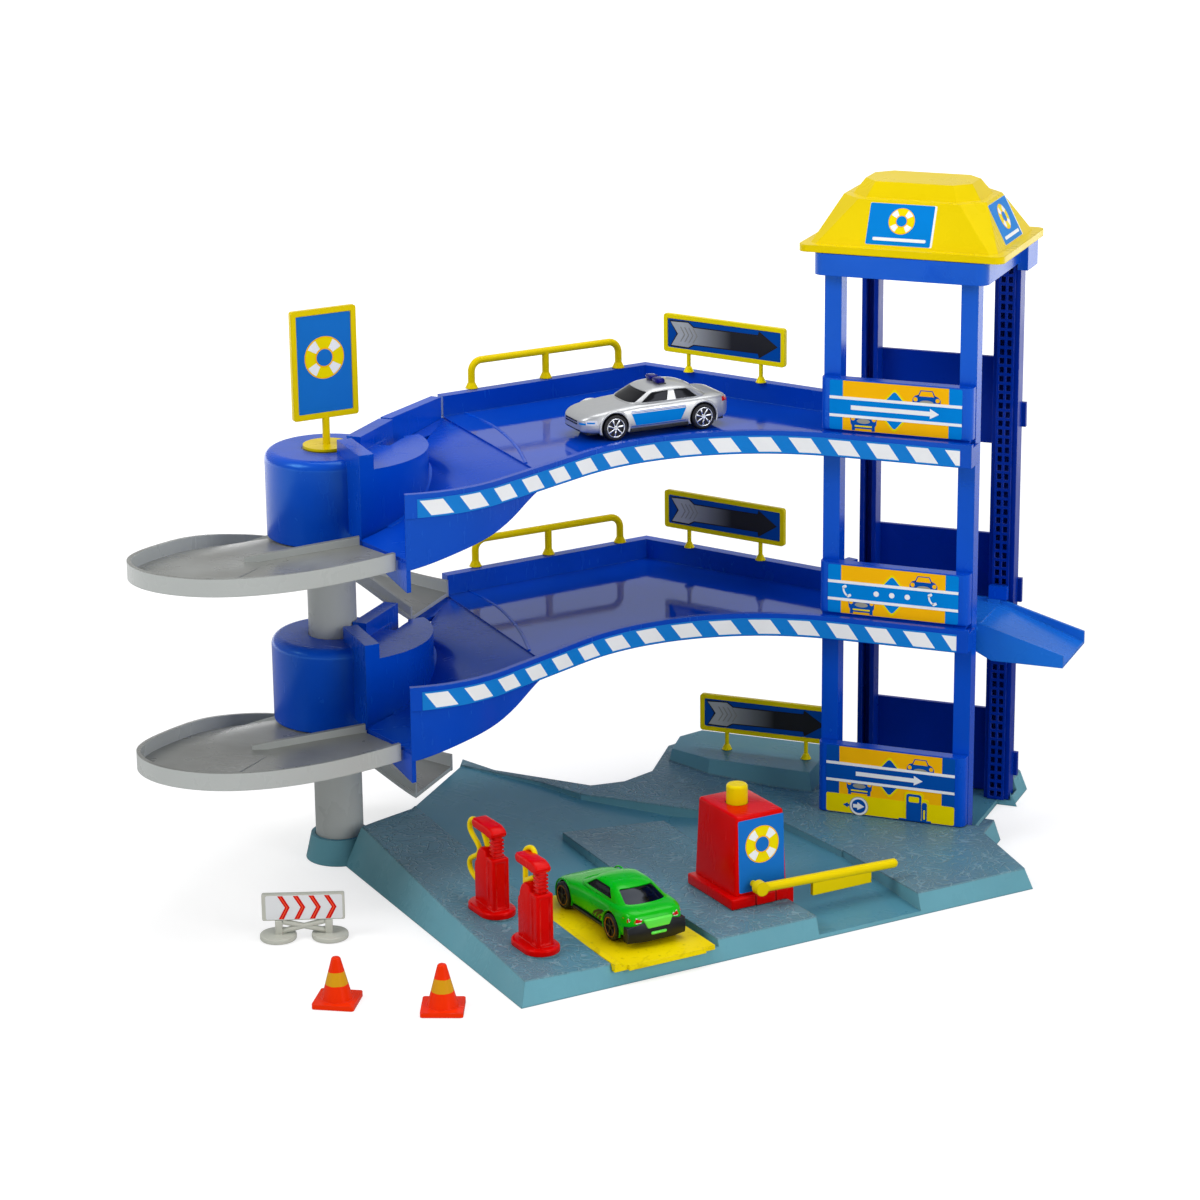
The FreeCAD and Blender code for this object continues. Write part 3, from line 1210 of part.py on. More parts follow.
def build():
    nodes["base_plate"] = base_plate()
    nodes["yellow_plate"] = yellow_plate()
    nodes["post_front_left"] = post(0, 0, post_side)
    nodes["post_front_right"] = post(1, 0, post_side)
    nodes["post_rear_left"] = post(0, 1, post_side)
    nodes["post_rear_right"] = post(1, 1, rack_post_width)
    nodes["rack"] = rack()
    nodes["front_panel_lower"] = front_panel(lower_panel_bottom, lower_panel_top)
    for name, level in (("middle", "lower"), ("upper", "upper")):
        low = deck_heights[level] + panel_lift
        nodes["front_panel_" + name] = front_panel(low, low + panel_height, panel_lift - fit)
    for name, level in (("lower", road_height + 1.6), ("middle", deck_heights["lower"] + 1.6),
                        ("upper", deck_heights["upper"])):
        nodes["rear_panel_" + name] = rear_panel(level)
    nodes["tower_collar"] = tower_collar()
    nodes["roof"] = roof()
    nodes["lift_platform"] = lift_platform()
    nodes["lift_latch"] = lift_latch()
    for level in ("lower", "upper"):
        nodes["deck_" + level] = deck(level)
        nodes["core_" + level] = core(level)
        nodes["spiral_tray_" + level] = spiral_tray(level)
        nodes["railing_" + level] = railing(level)
        z = deck_heights[level] + rear_wall_rise + fit
        nodes["sign_" + level] = turned(direction_sign(), -12.5, corner(-60.0, 41.0, z))
    nodes["wall_segment"] = wall_segment()
    nodes["sign_base"] = turned(direction_sign(), 0, corner(-37.4, 34.0, road_height + fit))
    joint_z = deck_heights["lower"] - 14.0
    nodes["column_lower"] = column(tower_floor + fit, joint_z)
    nodes["column_upper"] = column(joint_z + fit, deck_heights["upper"] + core_rise)
    nodes["flag_sign"] = flag_sign()
    for index, (u, v, z) in enumerate(pump_places, 1):
        place = on_base(u, v, z + fit / 2)
        nodes["fuel_pump_" + str(index)] = turned(fuel_pump(), base_angle, place)
        nodes["fuel_hose_" + str(index)] = turned(fuel_hose(), base_angle, place)
    nodes["booth_plinth"] = booth_plinth()
    nodes["booth_shell"] = booth_shell()
    nodes["booth_button"] = booth_button()
    nodes["button_spring"] = button_spring()
    nodes["barrier_arm"] = barrier_arm()
    for name, size, angle, place in (
        ("silver", SILVER, -132.8, corner(-73.2, -22.6, deck_heights["upper"] + 0.1)),
        ("green", GREEN, 141.0, on_base(69.0, 46.0, street_height + 2.2)),
    ):
        pieces = car(size)
        nodes[name + "_body"] = turned(pieces["body"], angle, place)
        nodes[name + "_chassis"] = turned(pieces["chassis"], angle, place)
        nodes[name + "_windows"] = turned(pieces["windows"], angle, place)
        nodes[name + "_wheels_front"] = turned(pieces["wheels"]["front"], angle, place)
        nodes[name + "_wheels_rear"] = turned(pieces["wheels"]["rear"], angle, place)
    light_bar = box(vec(-8.4, -6.0, 19.7), vec(-4.6, 6.0, 21.6))
    light_bar = light_bar.makeFillet(0.8, [e for e in light_bar.Edges if e.BoundBox.ZMin > 21])
    nodes["silver_light_bar"] = turned(light_bar, -132.8, corner(-73.2, -22.6, deck_heights["upper"] + 0.1))
    nodes["cone_1"] = turned(cone(), 12, corner(-117, -252, 0))
    nodes["cone_2"] = turned(cone(), 20, corner(-75, -244, 0))
    place = corner(-158.5, -197.0, 0)
    nodes["road_sign_panel"] = turned(road_sign_panel(), 24.2, place)
    nodes["road_sign_feet"] = turned(road_sign_feet(), 24.2, place)


if __name__ == "__main__":
    os.makedirs("parts", exist_ok=True)
    build()
    for name, shape in nodes.items():
        if not shape.isValid():
            print("not valid:", name)
        solids = shape.Solids
        print(name, len(solids), round(sum(s.Volume for s in solids) / 1000, 3), "cm3")
        shape.exportStep("parts/" + name + ".step")
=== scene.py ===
"""Toy rescue station: its plastics and stickers, and the pieces that are modelled again for the eye.

Those are the two model cars, the fuel pumps and their hoses, the booth and its spring, and the stand of the
road sign. The decks get a striped ribbon and their chutes a seal and a bead. Sizes are in millimetres, and
places are measured as in the station's own drawing: X to the right along the tower's front, Y to the back
and Z up, from the ground below the middle of the tower.
"""
import math

import bpy
from mathutils import Matrix, Vector


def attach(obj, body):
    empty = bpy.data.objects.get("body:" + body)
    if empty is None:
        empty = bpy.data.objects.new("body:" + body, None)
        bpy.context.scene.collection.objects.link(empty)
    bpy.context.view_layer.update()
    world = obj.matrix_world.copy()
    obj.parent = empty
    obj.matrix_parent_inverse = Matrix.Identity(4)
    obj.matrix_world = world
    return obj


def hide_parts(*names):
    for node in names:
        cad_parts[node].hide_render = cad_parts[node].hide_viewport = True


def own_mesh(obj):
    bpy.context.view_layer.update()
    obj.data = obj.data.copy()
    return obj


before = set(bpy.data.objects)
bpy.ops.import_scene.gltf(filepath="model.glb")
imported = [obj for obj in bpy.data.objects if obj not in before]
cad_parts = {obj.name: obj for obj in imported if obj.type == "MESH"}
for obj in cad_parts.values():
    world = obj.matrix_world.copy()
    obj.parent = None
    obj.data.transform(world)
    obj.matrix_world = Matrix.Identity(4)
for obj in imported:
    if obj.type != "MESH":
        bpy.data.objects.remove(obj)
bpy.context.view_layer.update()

MM = 0.001
to_metres = Matrix.Scale(MM, 4)
tower_x = 33.8                      # half the tower's width
tower_y = 30.0                      # half the tower's depth
lower_deck = 99.5
upper_deck = 181.5
base_turn = 51.0                    # from the tower's front to the base plate's front, in degrees
core_axis = (-185.5, -106.2)        # middle of the spiral, measured from the tower's corner
sign_spot = (-158.5, -197.0)        # middle of the road sign, measured from the tower's corner
sign_turn = 24.2
sheet = 0.05                        # thickness of a printed layer


# Places
def corner(x, y, z=0.0):
    """A place measured from the outer corner of the tower's front left post, in metres."""
    return Vector((x - tower_x, y - tower_y, z)) * MM


def on_base(u, v, z=0.0):
    """A place measured from the base plate's front corner, u along its front and v to its back."""
    turn = math.radians(base_turn)
    x = -46.3 + u * math.cos(turn) - v * math.sin(turn)
    y = -232.9 + u * math.sin(turn) + v * math.cos(turn)
    return corner(x, y, z)


def standing(place, angle):
    """From a piece's own millimetres to a place on the station, turned about its upright axis."""
    return Matrix.Translation(place) @ Matrix.Rotation(math.radians(angle), 4, "Z") @ to_metres


def facing(place, right, up):
    """From millimetres on a flat face to its place: x runs right, y up and z out of the face."""
    right = Vector(right).normalized()
    out = right.cross(Vector(up)).normalized()
    up = out.cross(right)
    turn = Matrix((right, up, out)).transposed().to_4x4()
    return Matrix.Translation(place) @ turn @ to_metres


def upright(place, angle, ahead):
    """The frame of an upright face that is turned by an angle and lies a little ahead of a place."""
    turn = Matrix.Rotation(math.radians(angle), 3, "Z")
    return facing(place + turn @ Vector((0, -ahead * MM, 0)), turn @ Vector((1, 0, 0)), (0, 0, 1))


# Materials
def tint(red, green, blue):
    """A colour as a screen shows it, from 0 to 255, for a shader."""
    values = []
    for value in (red, green, blue):
        share = value / 255
        values.append(share / 12.92 if share <= 0.04045 else ((share + 0.055) / 1.055) ** 2.4)
    return (*values, 1.0)


def feed(tree, node, inputs):
    """Gives each input of a node its value, or joins it to a socket."""
    for key, value in inputs.items():
        if isinstance(value, bpy.types.NodeSocket):
            tree.links.new(value, node.inputs[key])
        else:
            node.inputs[key].default_value = value


def add(tree, kind, inputs=None, **settings):
    """A shader node with its settings and its inputs."""
    node = tree.nodes.new("ShaderNode" + kind)
    for key, value in settings.items():
        setattr(node, key, value)
    feed(tree, node, inputs or {})
    return node


def calc(tree, operation, a, b=0.0, clamp=False):
    return add(tree, "Math", {0: a, 1: b}, operation=operation, use_clamp=clamp).outputs[0]


def spread(tree, value, low, high, to_low=0.0, to_high=1.0):
    """A value between two limits, carried over to two others and held there."""
    inputs = {"Value": value, "From Min": low, "From Max": high, "To Min": to_low, "To Max": to_high}
    return add(tree, "MapRange", inputs).outputs[0]


def mixed(tree, share, a, b):
    return add(tree, "Mix", {0: share, 6: a, 7: b}, data_type="RGBA").outputs[2]


def noise(tree, place, scale, detail=2.0, stretch=None):
    if stretch:
        place = add(tree, "Mapping", {"Vector": place, "Scale": stretch}).outputs[0]
    return add(tree, "TexNoise", {"Vector": place, "Scale": scale, "Detail": detail}).outputs[0]


def clouds(tree, place, scale, to_low=0.0, to_high=1.0, detail=3.0):
    """Soft noise that drifts between two values."""
    return spread(tree, noise(tree, place, scale, detail), 0.3, 0.7, to_low, to_high)


def bumped(tree, strength, depth, height, normal):
    """A normal that is pushed about by a height, with its depth in millimetres."""
    inputs = {"Strength": strength, "Distance": depth * MM, "Height": height, "Normal": normal}
    return add(tree, "Bump", inputs).outputs[0]


def sheen_of(colour):
    """Saturated plastics shine in their own colour where they are seen straight on."""
    peak = max(colour[:3])
    return (*[0.12 + 0.88 * c / peak for c in colour[:3]], 1.0)


def start_material(name):
    material = bpy.data.materials.new(name)
    material.use_nodes = True
    tree = material.node_tree
    place = add(tree, "TexCoord").outputs["Object"]
    return material, tree, tree.nodes["Principled BSDF"], place


def moulded(name, colour, roughness=0.26, mottle=0.07, edge=0.4, grain=0.05, edge_wear_and_highlight=0.12, specular=0.35,
            metal=0.0, sheen=None, shine=None, paint=None, relief=None):
    """Injection moulded plastic: a slightly cloudy colour, a fine skin, soft edges, and paler edges that are
    partly rubbed by use and partly a painted highlight.
    """
    material, tree, surface, place = start_material(name)
    dark = [c * (1 - mottle) for c in colour[:3]] + [1.0]
    light = [min(1.0, c * (1 + mottle)) for c in colour[:3]] + [1.0]
    base = mixed(tree, clouds(tree, place, 26.0), dark, light)
    if paint:
        base = paint(tree, place, base)
    soft = add(tree, "Bevel", {"Radius": edge * MM}, samples=4).outputs[0]
    flat = add(tree, "NewGeometry").outputs["Normal"]
    along = add(tree, "VectorMath", {0: soft, 1: flat}, operation="DOT_PRODUCT").outputs["Value"]
    # Paler edges in patches: partly rubbed by use, partly a painted highlight along the edges.
    rubbed = spread(tree, along, 0.99, 0.86)
    patchy = calc(tree, "MULTIPLY", rubbed, spread(tree, noise(tree, place, 160.0, 4.0), 0.4, 0.62))
    wear_and_highlight_tint = [c + (1 - c) * 0.4 for c in colour[:3]] + [1.0]
    base = mixed(tree, calc(tree, "MULTIPLY", patchy, edge_wear_and_highlight), base, wear_and_highlight_tint)
    scuff = noise(tree, place, 90.0, 3.0, stretch=(1.0, 6.0, 1.0))
    rough = calc(tree, "ADD", clouds(tree, place, 48.0, roughness * 0.8, roughness * 1.15, detail=4.0),
                 spread(tree, scuff, 0.58, 0.8, 0.0, 0.12))
    if shine:
        rough = shine(tree, place, rough)
    height = noise(tree, place, 620.0)
    skin = bumped(tree, grain, 0.6, height, soft)
    if relief:
        skin = relief(tree, place, skin)
    feed(tree, surface, {"Base Color": base, "Metallic": metal, "Roughness": rough, "Normal": skin,
                         "Specular IOR Level": specular, "Specular Tint": sheen or sheen_of(colour)})
    return material


def film(tree, surface, place, base, patches, rough, waves):
    """Joins up a glossy film in a colour: its shine is uneven in patches and its skin slightly wavy."""
    height = noise(tree, place, waves)
    skin = add(tree, "Bump", {"Strength": 0.06, "Distance": 0.001, "Height": height}).outputs[0]
    feed(tree, surface, {"Base Color": base, "Roughness": clouds(tree, place, patches, *rough),
                         "Normal": skin, "Specular IOR Level": 0.15})


def ink(name, colour, gradient=None):
    """Print on a thin glossy film: an even ink with a faint screen, which may fade along the piece."""
    material, tree, surface, place = start_material(name)
    feed(tree, surface, {"Specular Tint": sheen_of(colour)})
    base = mixed(tree, clouds(tree, place, 70.0), [c * 0.94 for c in colour[:3]] + [1.0], colour)
    if gradient:
        along = axes_of(tree, add(tree, "UVMap").outputs[0])[0]
        base = mixed(tree, spread(tree, along, *gradient[:2]), base, gradient[2])
    film(tree, surface, place, base, 55.0, (0.272, 0.408), 140.0)
    return material


def car_paint(name, colour, metal=0.0, roughness=0.3, coat=0.6, flake=1.35):
    """Paint on a model car: fine flakes under a clear coat."""
    material, tree, surface, place = start_material(name)
    flakes = add(tree, "TexVoronoi", {"Vector": place, "Scale": 5200.0}).outputs["Distance"]
    share = calc(tree, "MULTIPLY", spread(tree, flakes, 0.15, 0.6), 0.5)
    base = mixed(tree, share, colour, [min(1.0, c * flake) for c in colour[:3]] + [1.0])
    rough = clouds(tree, place, 300.0, roughness * 0.85, roughness * 1.15)
    soft = add(tree, "Bevel", {"Radius": 0.2 * MM}, samples=4).outputs[0]
    height = noise(tree, place, 900.0)
    skin = bumped(tree, 0.05, 0.4, height, soft)
    feed(tree, surface, {"Base Color": base, "Metallic": metal, "Roughness": rough, "Normal": skin,
                         "Specular IOR Level": 0.3, "Specular Tint": sheen_of(colour),
                         "Coat Weight": coat, "Coat Roughness": 0.08})
    return material


def axes_of(tree, place):
    """The three coordinates of a place or a direction."""
    return add(tree, "SeparateXYZ", {0: place}).outputs


def facing_up(tree):
    """How far a face looks up, from -1 to 1."""
    return axes_of(tree, add(tree, "NewGeometry").outputs["Normal"])[2]


def level_with(tree, z, height):
    """Whether a height is within 0.6 mm of another."""
    return add(tree, "Math", {0: z, 1: height, 2: 0.0006}, operation="COMPARE").outputs[0]


def within(tree, value, low, high):
    """Whether a value is between two others."""
    above = calc(tree, "GREATER_THAN", value, low)
    return calc(tree, "MULTIPLY", above, calc(tree, "LESS_THAN", value, high))


def polished_top(tree, place, rough):
    """The upper side of a deck is polished like a mirror; its walls are not."""
    z = axes_of(tree, place)[2]
    level = calc(tree, "MAXIMUM", level_with(tree, z, lower_deck * MM), level_with(tree, z, upper_deck * MM))
    share = calc(tree, "MULTIPLY", spread(tree, facing_up(tree), 0.985, 0.998), level)
    gloss = clouds(tree, place, 30.0, 0.035, 0.085)
    return add(tree, "Mix", {0: share, 2: rough, 3: gloss}, data_type="FLOAT").outputs[0]


def stone_cells(tree, place):
    """Where the sidewalks are, as the base rises to the left, and how far the nearest joint is away."""
    x, _, z = axes_of(tree, place)[:3]
    left = spread(tree, x, -0.2008, -0.1338, 0.0184, 0.0128)
    walk = calc(tree, "ADD", left, spread(tree, x, -0.1338, -0.0618, 0.0, -0.0038))
    drift = add(tree, "TexNoise", {"Vector": place, "Scale": 40.0, "Detail": 2.0}).outputs["Color"]
    bent = add(tree, "Mix", {0: 0.06, 6: place, 7: drift}, data_type="RGBA", blend_type="LINEAR_LIGHT")
    cells = {"Vector": bent.outputs[2], "Scale": 105.0, "Randomness": 0.9}
    joint = add(tree, "TexVoronoi", cells, feature="DISTANCE_TO_EDGE").outputs["Distance"]
    return level_with(tree, z, walk), joint


def flagstones(tree, place, normal):
    """Irregular flagstones in relief on the sidewalks."""
    on_walk, joint = stone_cells(tree, place)
    height = calc(tree, "MULTIPLY", spread(tree, joint, 0.02, 0.1), on_walk)
    return bumped(tree, 0.5, 0.7, height, normal)


def painted_shade_on_top(tree, place, base):
    """The running surfaces get painted shade: faces that look up are darker than the rims, unevenly."""
    # Painted shade: faces that look up are pulled towards a dark grey.
    level = spread(tree, facing_up(tree), 0.7, 0.95)
    share = calc(tree, "MULTIPLY", level, clouds(tree, place, 40.0, 0.6, 0.85))
    return mixed(tree, share, base, tint(94, 94, 88))


def road_dust_and_shade(tree, place, base):
    """Pale dust in streaks, painted shade that makes the level faces darker than the kerbs, greyer sidewalks
    and lighter joints between their stones.
    """
    streaks = noise(tree, place, 55.0, 5.0, stretch=(1.0, 3.0, 1.0))
    share = calc(tree, "MULTIPLY", spread(tree, streaks, 0.5, 0.72), 0.22)
    base = mixed(tree, share, base, tint(112, 158, 170))
    # Painted shade: level faces are darker than the upright kerb faces.
    base = mixed(tree, spread(tree, facing_up(tree), 0.8, 0.98, 0.0, 0.75), base, tint(66, 124, 146))
    on_walk, joint = stone_cells(tree, place)
    patches = spread(tree, noise(tree, place, 24.0), 0.35, 0.65, 0.2, 0.55)
    base = mixed(tree, calc(tree, "MULTIPLY", on_walk, patches), base, tint(98, 112, 122))
    lines = calc(tree, "MULTIPLY", on_walk, spread(tree, joint, 0.06, 0.02, 0.0, 0.5))
    return mixed(tree, lines, base, tint(130, 160, 170))


def worn_yellow(tree, place, base):
    """Dark rubbed spots and lines on the drive-on plate."""
    spots = noise(tree, place, 380.0, 5.0)
    lines = noise(tree, place, 260.0, 4.0, stretch=(0.7, 0.25, 1.0))
    share = calc(tree, "ADD", spread(tree, spots, 0.6, 0.74), spread(tree, lines, 0.58, 0.72), clamp=True)
    return mixed(tree, calc(tree, "MULTIPLY", share, 0.4), base, tint(120, 104, 6))


def cone_bands(tree, place, base):
    """The yellow band round the traffic cones, with a slightly uneven edge."""
    z = calc(tree, "ADD", axes_of(tree, place)[2], clouds(tree, place, 300.0, -0.0001, 0.0001, detail=2.0))
    return mixed(tree, within(tree, z, 0.0083, 0.0135), base, tint(206, 150, 24))


blue_skin = {"grain": 0.02, "edge_wear_and_highlight": 0.0, "sheen": (0.25, 0.8, 1.0, 1.0)}
blue = moulded("blue_moulded", tint(0, 70, 194), roughness=0.24, edge=0.35, specular=0.5, **blue_skin)
deck_blue = moulded("blue_polished_deck", tint(0, 62, 184), roughness=0.24, edge=0.35, specular=0.5,
                    shine=polished_top, **blue_skin)
# A lighter copy of the blue: a painted reflection on the lift's tail.
lift_painted_sheen_blue = moulded("blue_lift", tint(24, 104, 206), roughness=0.28, edge=0.6, **blue_skin)
# A darker copy of the blue: painted shade for the rack, the rear panels and the rear posts inside the tower.
painted_shade_blue = moulded("blue_shaded", tint(0, 42, 146), roughness=0.3, edge=0.6, grain=0.02, specular=0.3)
yellow = moulded("yellow_moulded", tint(228, 202, 0), roughness=0.3, mottle=0.04, edge=0.6, grain=0.015,
                 edge_wear_and_highlight=0.03, specular=0.25)
plate_yellow = moulded("yellow_worn_plate", tint(232, 208, 0), roughness=0.4, paint=worn_yellow, grain=0.08,
                       specular=0.2)
grey = moulded("grey_moulded", tint(176, 180, 178), roughness=0.3, mottle=0.03, edge=0.6, edge_wear_and_highlight=0.05,
               paint=painted_shade_on_top)
road = moulded("grey_road", tint(98, 152, 166), roughness=0.3, mottle=0.06, edge=0.8, grain=0.04, edge_wear_and_highlight=0.1,
               specular=0.15, paint=road_dust_and_shade, relief=flagstones)
red = moulded("red_moulded", tint(206, 2, 0), roughness=0.24, edge=0.6, grain=0.02, specular=0.3)
orange = moulded("orange_cone", tint(230, 48, 6), roughness=0.22, grain=0.02, paint=cone_bands)
white = moulded("white_moulded", tint(188, 190, 180), roughness=0.34, mottle=0.02)
# A brighter copy of the yellow: painted light on the signs, which face away from the lamps.
painted_light_yellow = moulded("yellow_signs", tint(252, 230, 0), roughness=0.3, mottle=0.02, grain=0.015)
black = moulded("black_moulded", tint(20, 21, 24), roughness=0.42, edge_wear_and_highlight=0.3)
steel = moulded("spring_steel", tint(190, 192, 196), roughness=0.3, metal=1.0)
tyre_black = moulded("tyre_black", tint(22, 22, 24), roughness=0.5, grain=0.2)
chrome = moulded("rim_chrome", tint(205, 208, 212), roughness=0.16, grain=0.02, metal=1.0)
bronze = moulded("rim_bronze", tint(176, 128, 62), roughness=0.24, grain=0.02, metal=0.9)
silver_paint = car_paint("silver_paint", tint(172, 174, 176), metal=0.6, roughness=0.36)
green_paint = car_paint("green_paint", tint(0, 172, 6), coat=0.25, flake=1.1)
green_light = car_paint("green_light", tint(92, 220, 76), coat=0.25, flake=1.1)
grey_glass = moulded("grey_glass", tint(20, 21, 24), roughness=0.1, grain=0.01, specular=0.12)
black_glass = moulded("black_glass", tint(5, 6, 8), roughness=0.07, grain=0.01, specular=0.25)
blue_lens = moulded("blue_lens", tint(10, 12, 96), roughness=0.12, grain=0.02)
red_lens = moulded("red_lens", tint(190, 14, 18), roughness=0.12, grain=0.02)
clear_lens = moulded("clear_lens", tint(222, 224, 228), roughness=0.1, grain=0.02)

ink_sky = ink("ink_sky_blue", tint(0, 128, 214))
ink_blue_and_shaded_sky = ink("ink_blue_and_shaded_sky", tint(4, 78, 168))
ink_flag = ink("ink_flag_blue", tint(24, 112, 198))
ink_orange = ink("ink_orange", tint(250, 186, 12))
ink_yellow = ink("ink_yellow", tint(240, 220, 0))
ink_white = ink("ink_white", tint(240, 242, 244))
ink_grey = ink("ink_grey", tint(150, 150, 140))
ink_black = ink("ink_black", tint(34, 34, 36))
ink_red = ink("ink_red", tint(206, 20, 26))
ink_scarlet = ink("ink_scarlet", tint(238, 84, 48))
ink_field = ink("ink_field", tint(222, 225, 227))
ink_arrow = ink("ink_arrow", tint(186, 190, 188), gradient=(-22.0, 4.0, tint(36, 36, 38)))

# The finish of each node by the start of its name, the longest start first; all others are blue
finishes = {
    "base_plate": road, "yellow_plate": plate_yellow, "rack": painted_shade_blue, "rear_panel": painted_shade_blue,
    "lift_platform": lift_painted_sheen_blue, "post_rear": painted_shade_blue, "roof": yellow, "railing": yellow,
    "sign": painted_light_yellow, "flag_sign": yellow, "booth_button": yellow, "barrier_arm": yellow,
    "fuel_hose": yellow, "deck": deck_blue, "spiral_tray": grey, "column": grey, "fuel_pump": red,
    "booth": red, "button_spring": steel, "silver_body": silver_paint, "silver_chassis": black,
    "silver_windows": grey_glass, "silver_light_bar": blue_lens, "silver_wheels": chrome,
    "green_body": green_paint, "green_chassis": black, "green_windows": black_glass, "green_wheels": bronze,
    "cone": orange, "road_sign": white,
}
for name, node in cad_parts.items():
    starts = [start for start in finishes if name.startswith(start)]
    finish = finishes[max(starts, key=len)] if starts else blue
    if not node.material_slots:
        node.data.materials.append(finish)
    for slot in node.material_slots:
        slot.material = finish


# Modelling
def close_edit():
    bpy.ops.object.mode_set(mode="OBJECT")


def deselect():
    if bpy.context.object and bpy.context.object.mode != "OBJECT":
        close_edit()
    bpy.ops.object.select_all(action="DESELECT")


def activate(piece):
    """Selects one piece alone and makes it the active one."""
    deselect()
    piece.select_set(True)
    bpy.context.view_layer.objects.active = piece


def edit(piece, whole=False):
    """Opens a piece in edit mode, if need be with all of its faces selected."""
    activate(piece)
    bpy.ops.object.mode_set(mode="EDIT")
    bpy.ops.mesh.select_mode(type="FACE")
    if whole:
        bpy.ops.mesh.select_all(action="SELECT")


def pick(piece, wanted):
    """Leaves only the faces selected whose middle and normal are wanted, in edit mode."""
    bpy.ops.mesh.select_all(action="DESELECT")
    close_edit()
    for face in piece.data.polygons:
        face.select = bool(wanted(face.center, face.normal))
    bpy.ops.object.mode_set(mode="EDIT")


def modify(piece, kind, **settings):
    """Adds a modifier and applies it."""
    activate(piece)
    modifier = piece.modifiers.new(kind.lower(), kind)
    for key, value in settings.items():
        setattr(modifier, key, value)
    bpy.ops.object.modifier_apply(modifier=modifier.name)


def cut(cutter, *pieces):
    """Cuts a piece out of others, after which it is gone."""
    for piece in pieces:
        modify(piece, "BOOLEAN", object=cutter, operation="DIFFERENCE", solver="EXACT")
    bpy.data.objects.remove(cutter)


def joined(pieces):
    deselect()
    for piece in pieces:
        piece.select_set(True)
    bpy.context.view_layer.objects.active = pieces[0]
    bpy.ops.object.join()
    return bpy.context.object


def in_scene(thing):
    bpy.context.scene.collection.objects.link(thing)
    return thing


def copied(piece):
    """A copy of a piece with a mesh of its own."""
    copy = piece.copy()
    copy.data = piece.data.copy()
    return in_scene(copy)


def dressed(piece, material):
    piece.data.materials.clear()
    piece.data.materials.append(material)
    return piece


def finish_piece(piece, name, body, slot, place=None, smooth=None, replaces=()):
    """Puts a piece's place in its mesh, names it and lets it ride on its body."""
    deselect()
    if place is not None:
        piece.data.transform(place)
    if smooth is not None:
        activate(piece)
        bpy.ops.object.shade_smooth_by_angle(angle=math.radians(smooth))
    piece.name = name
    piece.data.name = name
    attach(piece, body)
    if replaces:
        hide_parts(*replaces)
    return piece


def grid_piece(columns, rows=1):
    """A flat grid that runs from -1 to 1 both ways."""
    deselect()
    bpy.ops.mesh.primitive_grid_add(x_subdivisions=columns, y_subdivisions=rows, size=2.0)
    return bpy.context.object


def column_of(vertex, columns):
    """In which column of such a grid a vertex is."""
    return round((vertex.co.x + 1) / 2 * columns)


def cutout(points, low, high, material):
    """A flat shape cut from a sheet: a ring of points, filled and drawn up from one height to another."""
    deselect()
    bpy.ops.mesh.primitive_circle_add(vertices=len(points), radius=1.0, fill_type="NGON")
    piece = bpy.context.object
    for vertex, (x, y) in zip(piece.data.vertices, points):
        vertex.co = (x, y, low)
    edit(piece, whole=True)
    bpy.ops.mesh.extrude_region_move(TRANSFORM_OT_translate={"value": (0, 0, high - low)})
    bpy.ops.mesh.select_all(action="SELECT")
    bpy.ops.mesh.normals_make_consistent(inside=False)
    close_edit()
    layer = piece.data.uv_layers.active.data
    for loop in piece.data.loops:
        layer[loop.index].uv = piece.data.vertices[loop.vertex_index].co.xy
    piece.data.materials.append(material)
    return piece


def sticker(name, body, slot, place, shapes):
    """A sticker of printed shapes, each a layer above the ones that it lies on."""
    pieces = []
    for points, layer, material in shapes:
        pieces.append(cutout(points, 0.0, (layer + 1) * sheet, material))
    return finish_piece(joined(pieces), name, body, slot, place)


def arc_points(x, y, radius, start, end, steps):
    """Places along an arc between two directions in degrees."""
    turns = [math.radians(start + (end - start) * step / steps) for step in range(steps + 1)]
    return [(x + radius * math.cos(turn), y + radius * math.sin(turn)) for turn in turns]


def plate_points(x0, y0, x1, y1, radius=0.0, steps=4):
    """A rectangle with rounded corners."""
    if not radius:
        return [(x0, y0), (x1, y0), (x1, y1), (x0, y1)]
    points = []
    for x, y, start in ((x1 - radius, y0 + radius, -90), (x1 - radius, y1 - radius, 0),
                        (x0 + radius, y1 - radius, 90), (x0 + radius, y0 + radius, 180)):
        points += arc_points(x, y, radius, start, start + 90, steps)
    return points


def disc_points(x, y, radius, tall=None, steps=28):
    tall = tall or radius
    turns = [2 * math.pi * step / steps for step in range(steps)]
    return [(x + radius * math.cos(turn), y + tall * math.sin(turn)) for turn in turns]


def moved_points(points, x, y, scale=1.0):
    return [(x + px * scale, y + py * scale) for px, py in points]


# Stickers on the tower's front panels
panel_left = 4.4
panel_right = 63.0


